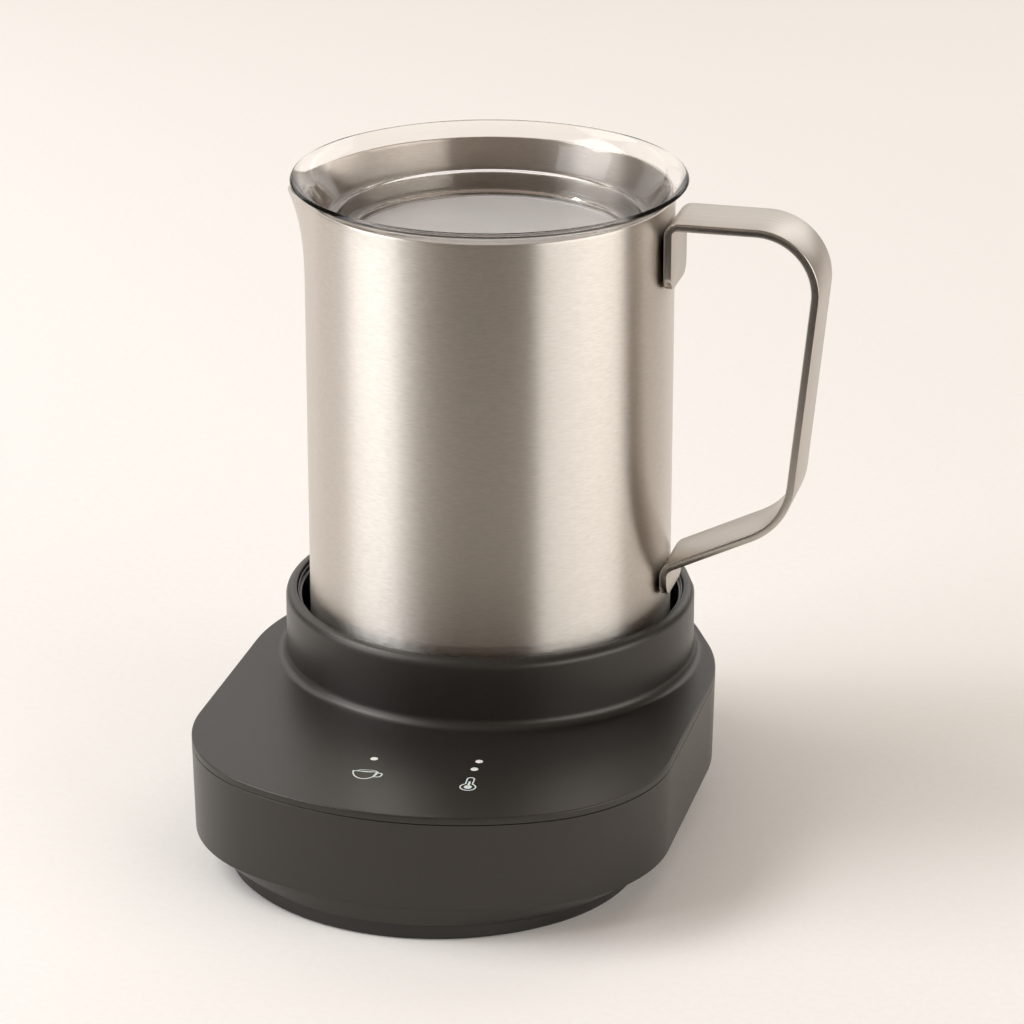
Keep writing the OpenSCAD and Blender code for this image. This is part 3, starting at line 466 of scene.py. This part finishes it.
def cut(piece, cutter):
    """Take the cutter's shape out of a finished piece."""
    apply(piece, "BOOLEAN", operation="DIFFERENCE", solver="EXACT", object=cutter)
    bpy.data.objects.remove(cutter)
    print(piece.name, "faces after the cut:", len(piece.data.polygons))

# %% Windows for the three lights
LIGHTS = [(-11, -80.6), (16.2, -80.6), (16.2, -75.6)]
hole = turned("light_holes", [(0, 32), (1.12, 32), (1.12, 37), (0, 37)], steps=48)
cut(deck_and_collar, place_copies(hole, LIGHTS))
lens = rounded([(0, 29.4, 0), (1.05, 29.4, 0), (1.05, 35.82, 0.15), (0, 35.88, 0)], step=20)
light_lenses = place_copies(turned("light_lenses", lens, steps=48), LIGHTS)
finish_mesh(light_lenses)
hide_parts("light_guides")
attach(light_lenses, "base")
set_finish(light_lenses, "light_clear")

# %% The bush for a mains cord, in the back wall
BUSH_Y, BUSH_Z = 59.0, 18
CORD_R, NECK_R, FLANGE_R = 3.4, 5.35, 8         # the bush's hole, neck and flange


def face_back(piece):
    """Turn a piece made about the jug's axis to face backwards at the bush's place."""
    bpy.ops.object.mode_set(mode="OBJECT")
    piece.rotation_euler = (-pi / 2, 0, 0)
    piece.location = (0, BUSH_Y * MM, BUSH_Z * MM)
    bpy.ops.object.transform_apply()
    return piece


bore = turned("bush_seat", [(0, -8), (5.4, -8), (5.4, 0), (8.1, 0), (8.1, 8), (0, 8)], steps=96)
cut(base_wall, face_back(bore))
bush = rounded([(CORD_R, -4.3, 0), (NECK_R, -4.3, 0), (NECK_R, 0, 0), (FLANGE_R, 0, 0),
                (FLANGE_R, 1.6, 0.8), (CORD_R, 1.6, 0.6), (CORD_R, -4.3, 0)], step=15)
cord_grommet = face_back(turned("cord_grommet", bush, steps=96))
finish_mesh(cord_grommet)
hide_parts("cord_bush")
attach(cord_grommet, "base")
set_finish(cord_grommet, "rubber_black")

# %% [markdown]
# ## The underside
# The bottom cover is a tray with a groove for the rubber foot ring, slots under the fan, and
# four deep holes for the screws. It is lofted like the wall, and its slots are cut out of it.
# The slots could be planes with a dark colour, but they would look painted on from close by.
# The foot ring follows the tray's outline, so it is lofted through that too.

# %% The bottom cover
GROOVE, FOOT = (0.6, 5.2), (0.7, 5.1)           # insets from the foot's outline
TRAY_LIFT, GROOVE_TOP = 0.6, 1.6
tray_sections = [(foot_outline(GROOVE[1]), TRAY_LIFT), (foot_outline(GROOVE[1]), GROOVE_TOP),
                 (foot_outline(GROOVE[0]), GROOVE_TOP), (foot_outline(GROOVE[0]), TRAY_LIFT),
                 (foot_outline(0.2), TRAY_LIFT), (foot_outline(0), TRAY_LIFT + 0.2),
                 (plinth_outline(0), PLINTH_Z - 0.1), (plinth_outline(0.1), PLINTH_Z),
                 (plinth_outline(WALL), PLINTH_Z), (plinth_outline(WALL), 2.8)]
bottom_tray = lofted("bottom_tray", tray_sections)
bpy.ops.mesh.select_all(action="SELECT")
bpy.ops.mesh.fill_holes(sides=0)
close_seams()
finish_mesh(bottom_tray)

# %% The foot ring in its groove
foot_sections = [(foot_outline(FOOT[0] + 0.2), 0), (foot_outline(FOOT[0]), 0.2),
                 (foot_outline(FOOT[0]), 1.55), (foot_outline(FOOT[1]), 1.55),
                 (foot_outline(FOOT[1]), 0.2), (foot_outline(FOOT[1] - 0.2), 0)]
soft_foot = lofted("soft_foot", foot_sections + foot_sections[:1])
close_seams()
finish_mesh(soft_foot)
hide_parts("foot_ring")
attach(soft_foot, "base")
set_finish(soft_foot, "rubber_black")

# %% The cover's slots, made once and copied, and its screw holes
SCREWS = [(40, -77), (-40, -77), (43.02, 14.98), (-43.02, 14.98)]
slot_ends = [(x + 3.6 * k, -6) for x in (-36, 36) for k in range(-3, 4)]
slot_half = arc_points(0, 9, 0.9, 0, 180, 12)
slot_path = slot_half + [(-x, -y) for x, y in slot_half]
vent = new_piece("vents", (slot_path[0][0] * MM, slot_path[0][1] * MM, 0))
draw([(x * MM, y * MM, 0) for x, y in slot_path + slot_path[:1]])
close_seams()
bpy.ops.mesh.edge_face_add()
bpy.ops.mesh.extrude_region_move(TRANSFORM_OT_translate={"value": (0, 0, 5 * MM)})
close_seams()
cut(bottom_tray, place_copies(vent, slot_ends))
cut(bottom_tray, place_copies(turned("screw_holes", [(0, 0), (3.1, 0), (3.1, 5), (0, 5)], steps=48),
                              SCREWS))

# %% Posts that the screws pull against, standing on the tray
post = turned("posts", [(3.1, 2.7), (3.8, 2.7), (3.8, 14), (1.7, 14), (1.7, 9), (3.1, 9),
                        (3.1, 2.7)], steps=48)
posts = place_copies(post, SCREWS)
posts.select_set(True)
bottom_tray.select_set(True)
bpy.context.view_layer.objects.active = bottom_tray
bpy.ops.object.join()
finish_mesh(bottom_tray)
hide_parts("bottom_cover")
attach(bottom_tray, "base")
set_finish(bottom_tray, "cover_black")

# %% [markdown]
# ## The whisk
# The whisk is a length of spring wire bent into a ring, held in a groove of the hub. A wire is
# drawn as its centre line, made a curve with a round bevel, and then a mesh. Spinning a
# circle along a screw would make a straight spring, which would have to be bent afterwards.

# %% The spring ring
TURNS, STEPS = 30, 24
RING_R, TURN_R, RING_Z = 15.1, 2.6, 39          # the ring's radius, its turns' and its height
wire_line = []
for k in range(TURNS * STEPS):
    along, about = 2 * pi * k / (TURNS * STEPS), 2 * pi * k / STEPS
    reach = RING_R + TURN_R * cos(about)
    wire_line.append((reach * cos(along) * MM, reach * sin(along) * MM,
                      (RING_Z + TURN_R * sin(about)) * MM))
whisk_spring = new_piece("whisk_spring", wire_line[0])
draw(wire_line + wire_line[:1])
close_seams()
bpy.ops.object.mode_set(mode="OBJECT")
bpy.ops.object.convert(target="CURVE")
whisk_spring = bpy.context.object
whisk_spring.data.bevel_depth = 0.45 * MM
whisk_spring.data.bevel_resolution = 2
bpy.ops.object.convert(target="MESH")
whisk_spring = bpy.context.object
bpy.ops.object.mode_set(mode="EDIT")
close_seams()
finish_mesh(whisk_spring, 60)
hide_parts("whisk_coil")
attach(whisk_spring, "whisk")
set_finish(whisk_spring, "whisk_steel")

# %% The hub with its stem
PIN_HOLE_R, HUB_LOW, HUB_TOP, STEM_TOP = 1.85, 36.3, 43.05, 51.15
hub = rounded([(PIN_HOLE_R, HUB_LOW, 0), (12, HUB_LOW, 0.3), (12, 42.1, 0.1), (14, 42.15, 0.3),
               (14, HUB_TOP, 0.4), (3, HUB_TOP, 0.8), (3, STEM_TOP, 2.9), (0, STEM_TOP, 0)],
              step=12)
hub_profile = [(0, 41.75), (PIN_HOLE_R, 41.75)] + hub
stirring_hub = turned("stirring_hub", hub_profile, steps=128)
finish_mesh(stirring_hub)
pockets = turned("pockets", [(0, 36), (4.05, 36), (4.05, 40.5), (0, 40.5)], steps=48)
cut(stirring_hub, place_copies(pockets, [(7.2, 0), (-7.2, 0)]))
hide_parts("whisk_hub")
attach(stirring_hub, "whisk")
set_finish(stirring_hub, "whisk_plastic")

# %% [markdown]
# ## Signs on the deck
# Two touch fields are marked by thin printed outlines: a cup and a thermometer. Ink has almost
# no height, but a plane exactly on the deck would flicker, so each sign is a sheet 0.03 mm
# thick. An outline is a filled face, inset by the line's width, with its middle taken out.

# %% Drawing a sign
INK, LINE = 0.03, 0.36
signs = []


def sign(path, centre, line=LINE, lean=5):
    """One printed shape from a closed path in millimetres; without a line it stays filled."""
    turn = radians(lean)
    places = [((centre[0] + x * cos(turn) - y * sin(turn)) * MM,
               (centre[1] + x * sin(turn) + y * cos(turn)) * MM, DECK_Z * MM) for x, y in path]
    piece = new_piece("sign", places[0])
    draw(places + places[:1])
    close_seams()
    bpy.ops.mesh.edge_face_add()
    if line:
        bpy.ops.mesh.inset(thickness=line * MM)
        bpy.ops.mesh.delete(type="FACE")
    bpy.ops.mesh.select_all(action="SELECT")
    bpy.ops.mesh.extrude_region_move(TRANSFORM_OT_translate={"value": (0, 0, INK * MM)})
    close_seams()
    bpy.ops.object.mode_set(mode="OBJECT")
    signs.append(piece)


# %% The cup and the thermometer
CUP, BULB = (-10.9, -90.2), (17.3, -91.8)
bowl = [(3.45 * x, 1.5 + 4.9 * y) for x, y in arc_points(0, 0, 1, 180, 360, 20)]
sign(bowl, CUP)
sign([(0.4 + 2.6 * x, 1.7 + 0.75 * y) for x, y in arc_points(0, 0, 1, 0, 345, 23)], CUP, 0.2)
sign(rounded([(2.8, 1, 0.3), (5, 0.8, 0.9), (4.4, -1.7, 0.9), (2.2, -1.9, 0.3)], closed=True,
             step=15), CUP)
glass = (arc_points(0, 0, 2.2, -240, 60, 30) + arc_points(0, 4.9, 1.1, 0, 180, 12))
sign(glass, BULB)
sign(arc_points(0, 0, 1.05, 0, 345, 23), BULB, None)
sign([(-0.28, 0.5), (0.28, 0.5), (0.28, 3.4), (-0.28, 3.4)], BULB, None)
bpy.ops.object.select_all(action="DESELECT")
for piece in signs:
    piece.select_set(True)
bpy.context.view_layer.objects.active = signs[0]
bpy.ops.object.join()
deck_signs = bpy.context.object
deck_signs.name = deck_signs.data.name = "deck_signs"
print("deck_signs faces:", len(deck_signs.data.polygons))
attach(deck_signs, "base")
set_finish(deck_signs, "light_clear")

# %% [markdown]
# ## Finishes
# Each finish starts from what the real surface is and how it was made. All of them are built
# from shader nodes that read the piece's own Object coordinates, in metres, so a pattern has a
# true size and stays put when its piece moves. Images could be wrapped round the pieces
# instead, but they would need unwrapping and would blur close up.

# %% Helpers for finishes
def colour(code):
    """A linear colour from its sRGB code."""
    values = [int(code[i:i + 2], 16) / 255 for i in (1, 3, 5)]
    return (*[v / 12.92 if v <= 0.04045 else ((v + 0.055) / 1.055) ** 2.4 for v in values], 1)


def feed(tree, node, into):
    """Fill a node's sockets, each with a plain value or with a link from another socket."""
    for socket, value in into.items():
        if isinstance(value, bpy.types.NodeSocket):
            tree.links.new(value, node.inputs[socket])
        else:
            node.inputs[socket].default_value = value


def add(tree, kind, into=None, **settings):
    """Add a shader node with its settings, and fill its sockets."""
    node = tree.nodes.new(kind)
    for name, value in settings.items():
        setattr(node, name, value)
    feed(tree, node, into or {})
    return node


def finish(name, **sockets):
    """A new material with plain values on its shader; returns its tree and its shader."""
    material = bpy.data.materials.new(name)
    material.use_nodes = True
    shader = material.node_tree.nodes["Principled BSDF"]
    feed(material.node_tree, shader, {key.replace("_", " "): sockets[key] for key in sockets})
    finishes[name] = material
    return material.node_tree, shader


def grained(name, size, codes, roughness=None, depth=0, detail=3, **sockets):
    """A finish whose colour changes over grains of a size in mm, and so do gloss and height if
    a roughness and a depth are given.

    It returns its tree and its shader, for a finish that needs more nodes."""
    tree, shader = finish(name, **sockets)
    sides = size if isinstance(size, tuple) else (size, size, size)
    place = add(tree, "ShaderNodeMapping", {
        "Vector": add(tree, "ShaderNodeTexCoord").outputs["Object"],
        "Scale": [1 / (side * MM) for side in sides]})
    grains = add(tree, "ShaderNodeTexNoise", {"Vector": place.outputs[0], "Scale": 1,
                                              "Detail": detail})
    factor = add(tree, "ShaderNodeMapRange", {"Value": grains.outputs[0], "From Min": 0.3,
                                              "From Max": 0.7}).outputs[0]
    tone = add(tree, "ShaderNodeMix", {0: factor, 6: colour(codes[0]), 7: colour(codes[1])},
               data_type="RGBA")
    feed(tree, shader, {"Base Color": tone.outputs[2]})
    if roughness:
        dullness = add(tree, "ShaderNodeMapRange", {"Value": factor, "To Min": roughness[0],
                                                    "To Max": roughness[1]})
        feed(tree, shader, {"Roughness": dullness.outputs[0]})
    if depth:
        relief = add(tree, "ShaderNodeBump", {"Height": factor, "Distance": depth * MM})
        feed(tree, shader, {"Normal": relief.outputs[0]})
    return tree, shader


finishes = {}

# %% [markdown]
# ### Steel
# The jug is 18/8 stainless sheet with a horizontally brushed finish: a belt has dragged fine
# scratches round it. Such scratches spread a reflection up and down only, which is why a
# brushed jug shows upright bright and dark bands. The shader's anisotropy does that, with its
# tangent running round the Z axis. A plain blurry metal would show soft blobs instead.
# The scratches themselves are noise that is long round the jug and short along its height.

# %% Brushed steel of the jug
tree, steel = grained(               # scratches 0.33 mm high, coarser than real so as to show
    "brushed_steel", (2.4, 2.4, 0.33), ("#d0cac1", "#dcd6ce"), (0.34, 0.41), 0.002, 2,
    Metallic=1, Anisotropic=0.95, Anisotropic_Rotation=0.25)
around_z = add(tree, "ShaderNodeTangent", direction_type="RADIAL", axis="Z")
feed(tree, steel, {"Tangent": around_z.outputs[0]})

# %% [markdown]
# The handle is the same steel as a rolled strip, brushed along its length, with its sheared
# edges polished smooth so that they don't cut the hand. Which side of the strip a spot is on
# shows in its normal, so the edge faces get their own, lower roughness.

# %% Satin strip with polished edges
tree, strip = grained(               # scratches 0.4 mm wide that run along the strip
    "steel_strap", (16, 0.4, 16), ("#bfb8af", "#cbc4bb"), None, 0.002, 2, Metallic=1,
    Anisotropic=0.6)
own_normal = add(tree, "ShaderNodeVectorTransform", {
    "Vector": add(tree, "ShaderNodeNewGeometry").outputs["Normal"]},
    vector_type="NORMAL", convert_from="WORLD", convert_to="OBJECT")
sideways = add(tree, "ShaderNodeMath", {
    0: add(tree, "ShaderNodeSeparateXYZ", {0: own_normal.outputs[0]}).outputs["Y"]},
    operation="ABSOLUTE")
on_edge = add(tree, "ShaderNodeMapRange", {"Value": sideways.outputs[0], "From Min": 0.6,
                                           "From Max": 0.8}).outputs[0]
across_y = add(tree, "ShaderNodeTangent", direction_type="RADIAL", axis="Y")
feed(tree, strip, {
    "Tangent": across_y.outputs[0],
    "Roughness": add(tree, "ShaderNodeMapRange", {"Value": on_edge, "To Min": 0.38,
                                                  "To Max": 0.24}).outputs[0]})

# %% Dull magnetic stainless under the jug, with the rolling marks of cold-rolled sheet
grained("ring_steel", (1.1, 17, 17), ("#9f9c97", "#afaca6"), (0.38, 0.5), Metallic=1,
        Anisotropic=0.5)

# %% [markdown]
# ### Plastics of the base
# The deck and the wall are charcoal ABS with a spark-eroded satin texture: a fine, even grain
# that breaks up the gloss. The real grain is about 0.1 mm, too fine to show here, so it is
# drawn at half a millimetre. The sleeve in the collar is the same plastic from a polished
# mould, and the bottom cover and fan come from a coarser textured one.

# %% Satin charcoal of the deck and wall
WARM_SHEEN = colour("#fff6ee")      # real plastic's gloss has no tint: this stands for warm light
grained("satin_charcoal", 0.5, ("#21201e", "#272522"), (0.33, 0.41), 0.003, 2, IOR=1.53,
        Specular_Tint=WARM_SHEEN)

# %% Polished black of the sleeve, with the faint turning marks of its mould
grained("gloss_black", (11, 11, 1.4), ("#100f0e", "#151413"), (0.09, 0.15), IOR=1.53,
        Specular_Tint=WARM_SHEEN)

# %% Textured black of the bottom cover and the fan, with an etched grain of about a millimetre
grained("cover_black", 1.1, ("#1a1817", "#232120"), (0.5, 0.62), 0.01, IOR=1.53,
        Specular_Tint=WARM_SHEEN)

# %% Heat-resistant grey of the plate that the jug stands on, with specks of glass fibre
grained("cradle_grey", 0.4, ("#262626", "#333231"), (0.42, 0.52), 0.003, 1, IOR=1.55)

# %% Glass-filled white of the coil carrier, the guide and the rotor; fibres lie along the flow
grained("carrier_white", (0.45, 2, 2), ("#dad6cb", "#e5e2d8"), (0.45, 0.58), 0, 2, IOR=1.55)

# %% Satin black of the whisk's hub
grained("whisk_plastic", (6, 6, 1.1), ("#141413", "#1b1a19"), (0.3, 0.38), 0, 2, IOR=1.5)

# %% [markdown]
# ### Rubber and silicone
# The foot ring and the cord bush are soft black rubber: it scatters light at its very surface,
# so it looks greyer at a glancing look, which sheen gives, and it picks up dust. The seal under
# the plate is moulded silicone, smoother and slightly waxy.

# %% Rubber
grained("rubber_black", 2.4, ("#171615", "#25231f"), (0.6, 0.78), 0.006, 4, IOR=1.5,
        Sheen_Weight=0.15, Sheen_Roughness=0.5)

# %% Silicone
grained("silicone_grey", 3.3, ("#716f6c", "#7c7b77"), (0.42, 0.52), IOR=1.41,
        Subsurface_Weight=0.15, Subsurface_Scale=0.5 * MM)

# %% [markdown]
# ### Clear and white plastics
# The lid is polished clear copolyester, so it lets all light through and has next to no
# roughness, except where its floor is finely frosted. Its real refractive index is 1.57. It is
# set to 1.28 here, which isn't true to the plastic: at the real one the flare mirrors the lamps
# as hard white patches and hides the steel behind it, so bend and gloss are both weaker than on
# a real lid. The three lights and the two signs are a diffusing white: light scatters inside
# them, so they look even.

# %% Clear copolyester of the lid, with a finely frosted floor
FROST_TOP = LID_FLOOR + LID_WALL + 0.2          # just above the floor's upper side
tree, clear = grained("clear_plastic", 17, ("#fcf9f6", "#fefcfa"), detail=1, IOR=1.28)
place = add(tree, "ShaderNodeTexCoord").outputs["Object"]
rise = add(tree, "ShaderNodeSeparateXYZ", {0: place}).outputs["Z"]
frost = add(tree, "ShaderNodeMapRange", {"Value": rise, "From Min": (FROST_TOP + 0.2) * MM,
                                         "From Max": FROST_TOP * MM})
haze = add(tree, "ShaderNodeMapRange", {"Value": frost.outputs[0], "To Min": 0.005,
                                        "To Max": 0.3})
clearness = add(tree, "ShaderNodeMapRange", {"Value": frost.outputs[0], "To Min": 1,
                                             "To Max": 0.58})
feed(tree, clear, {"Roughness": haze.outputs[0], "Transmission Weight": clearness.outputs[0]})

# %% Diffusing white of the lights and the printed signs, cloudy with pigment
grained("light_clear", 0.7, ("#e9e6e0", "#f4f2ec"), (0.32, 0.42), 0, 2, IOR=1.49,
        Subsurface_Weight=0.3, Subsurface_Scale=0.3 * MM)

# %% [markdown]
# ### Wire, springs and bright small parts
# The whisk's spring is drawn stainless wire, polished by use. The springs and screws inside
# are plain drawn wire and zinc-plated steel. Drawing leaves faint marks along the wire, far
# too fine to see here, so a short noise stands for them.

# %% Polished stainless wire
grained("whisk_steel", 0.8, ("#c2beb8", "#cdc9c3"), (0.16, 0.26), Metallic=1)

# %% Drawn spring steel and screws
grained("spring_steel", (1.1, 1.1, 0.4), ("#a4a3a1", "#b7b5b1"), (0.26, 0.38), Metallic=1)

# %% Zinc-plated motor can, with a grown coat of crystals a few millimetres across
grained("motor_can", 3, ("#a9aaa8", "#bfc0bd"), (0.3, 0.42), 0, 0, Metallic=1)

# %% Nickel-plated magnets
grained("magnet_nickel", 2, ("#c0bdb4", "#cbc8bf"), (0.12, 0.22), Metallic=1)

# %% Extruded aluminium of the heat sink, with the lines of its die
grained("heat_sink_alu", (0.4, 12, 12), ("#bcbdbe", "#cacbcc"), (0.32, 0.45), 0, 2, Metallic=1,
        Anisotropic=0.5)

# %% [markdown]
# ### The works inside
# The induction coil is wound from litz, a rope of fine lacquered copper strands, so it shows a
# slanted rope pattern, drawn as waves under a clear coat. The ferrite bars are pressed and
# baked powder, dark and matt. The boards are green solder mask over glass cloth, whose weave
# just shows through.

# %% Lacquered litz copper
tree, litz = grained("litz_copper", 0.6, ("#8a4a25", "#c47a48"), (0.3, 0.42), 0,
                     Metallic=1, Coat_Weight=0.6, Coat_Roughness=0.12)
rope = add(tree, "ShaderNodeTexWave", {
    "Vector": add(tree, "ShaderNodeTexCoord").outputs["Object"], "Scale": 260,
    "Distortion": 2, "Detail": 2}, bands_direction="DIAGONAL")
strand_relief = add(tree, "ShaderNodeBump", {"Height": rope.outputs[1], "Distance": 0.05 * MM})
feed(tree, litz, {"Normal": strand_relief.outputs[0]})

# %% Sintered ferrite
grained("ferrite", 0.7, ("#262628", "#343437"), (0.48, 0.62), 0.006, 4, IOR=1.8)

# %% Solder mask over the weave of the glass cloth
grained("board_green", (1, 3, 3), ("#0f4a2a", "#155c36"), (0.3, 0.38), 0, 1, IOR=1.55,
        Coat_Weight=0.4, Coat_Roughness=0.1)

# %% [markdown]
# ### Putting the finishes on
# The frame's record says which finish each CAD node has, and each new piece was given its slot
# when it was made, so one loop serves them all.

# %% Assign every finish
node_finish = {part["node"]: part["material_slot"] for part in frame["record"]["subparts"]}
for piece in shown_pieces():
    name = piece.get("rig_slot") or node_finish[piece["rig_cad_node"]]
    piece.data.materials.clear()
    piece.data.materials.append(finishes[name])

# %% [markdown]
# ## Floor, lamps and size
# The frother stands on a plain warm white floor that runs out of sight. Brushed steel shows
# every lamp as an upright band, so the lamps are placed by their turn round the jug: a nearly
# square one on the left and a wide, low one on the right make the two bright bands. A key lamp,
# high on the left, lights the floor and throws the long soft shadow. The others stand further
# round and behind, for the jug's edges and its handle. A black card lies on the floor between
# the frother and the camera, as is done in a studio: without it the jug's middle would mirror
# the white floor, and the bands would drown. Only reflections see it, so from no side does it
# blacken the floor itself.

# %% Floor
bpy.ops.mesh.primitive_plane_add(size=8, location=(0, 0, 0))
floor = bpy.context.object
floor.name = "floor"
grained("floor_paper", 2, ("#f9f5ef", "#fbf8f3"), (0.88, 0.92), Specular_IOR_Level=0.2)
floor.data.materials.append(finishes["floor_paper"])

# %% Black card in front of the frother, just out of sight
CARD_AWAY, CARD_LIFT = 0.75, 0.002              # in metres
card_turn = radians(VIEW_TURN)
card_place = (CARD_AWAY * sin(card_turn), -CARD_AWAY * cos(card_turn), CARD_LIFT)
bpy.ops.mesh.primitive_plane_add(size=1, rotation=(0, 0, card_turn), location=card_place)
card = bpy.context.object
card.name = "card"
grained("card_flock", 1.2, ("#070605", "#0b0a09"), (0.95, 1))
card.data.materials.append(finishes["card_flock"])
card.visible_camera = card.visible_diffuse = card.visible_shadow = False

# %% World
world = bpy.data.worlds.new("studio")
bpy.context.scene.world = world
world.use_nodes = True
feed(world.node_tree, world.node_tree.nodes["Background"],
     {"Color": colour("#ffead9"), "Strength": 0.28})


# %% Soft lamps
def softbox(name, turn, rise, away, width, height, power, tint):
    """A rectangular lamp aimed at the jug; its turn is measured from the camera's side."""
    side = radians(VIEW_TURN - 90 + turn)
    aim = Vector((0, 0, 0.1))
    place = aim + away * Vector((cos(side) * cos(radians(rise)), sin(side) * cos(radians(rise)),
                                 sin(radians(rise))))
    bpy.ops.object.light_add(type="AREA", location=place,
                             rotation=(aim - place).to_track_quat("-Z", "Y").to_euler())
    lamp = bpy.context.object
    lamp.name = name
    lamp.data.shape = "RECTANGLE"
    lamp.data.size, lamp.data.size_y = width, height
    lamp.data.energy = power
    lamp.data.color = colour(tint)[:3]


WHITE, COOL = "#ffffff", "#f4f8ff"
softbox("left", -76, 28, 1.2, 0.8, 0.9, 8.1, COOL)
softbox("left_edge", -52, 28, 1.2, 0.3, 0.9, 0.32, WHITE)
softbox("left_rear", -140, 28, 1.2, 0.5, 0.9, 1.5, WHITE)
softbox("key", -100, 50, 2.4, 1.1, 0.9, 20.4, WHITE)
softbox("right", 58, 15, 1.2, 1.3, 0.6, 8.1, WHITE)
softbox("right_rear", 145, 28, 1.2, 0.45, 0.9, 1.5, WHITE)
softbox("back", 180, 23, 2.4, 2.3, 1.9, 10, WHITE)
bpy.context.scene.view_settings.view_transform = "Standard"
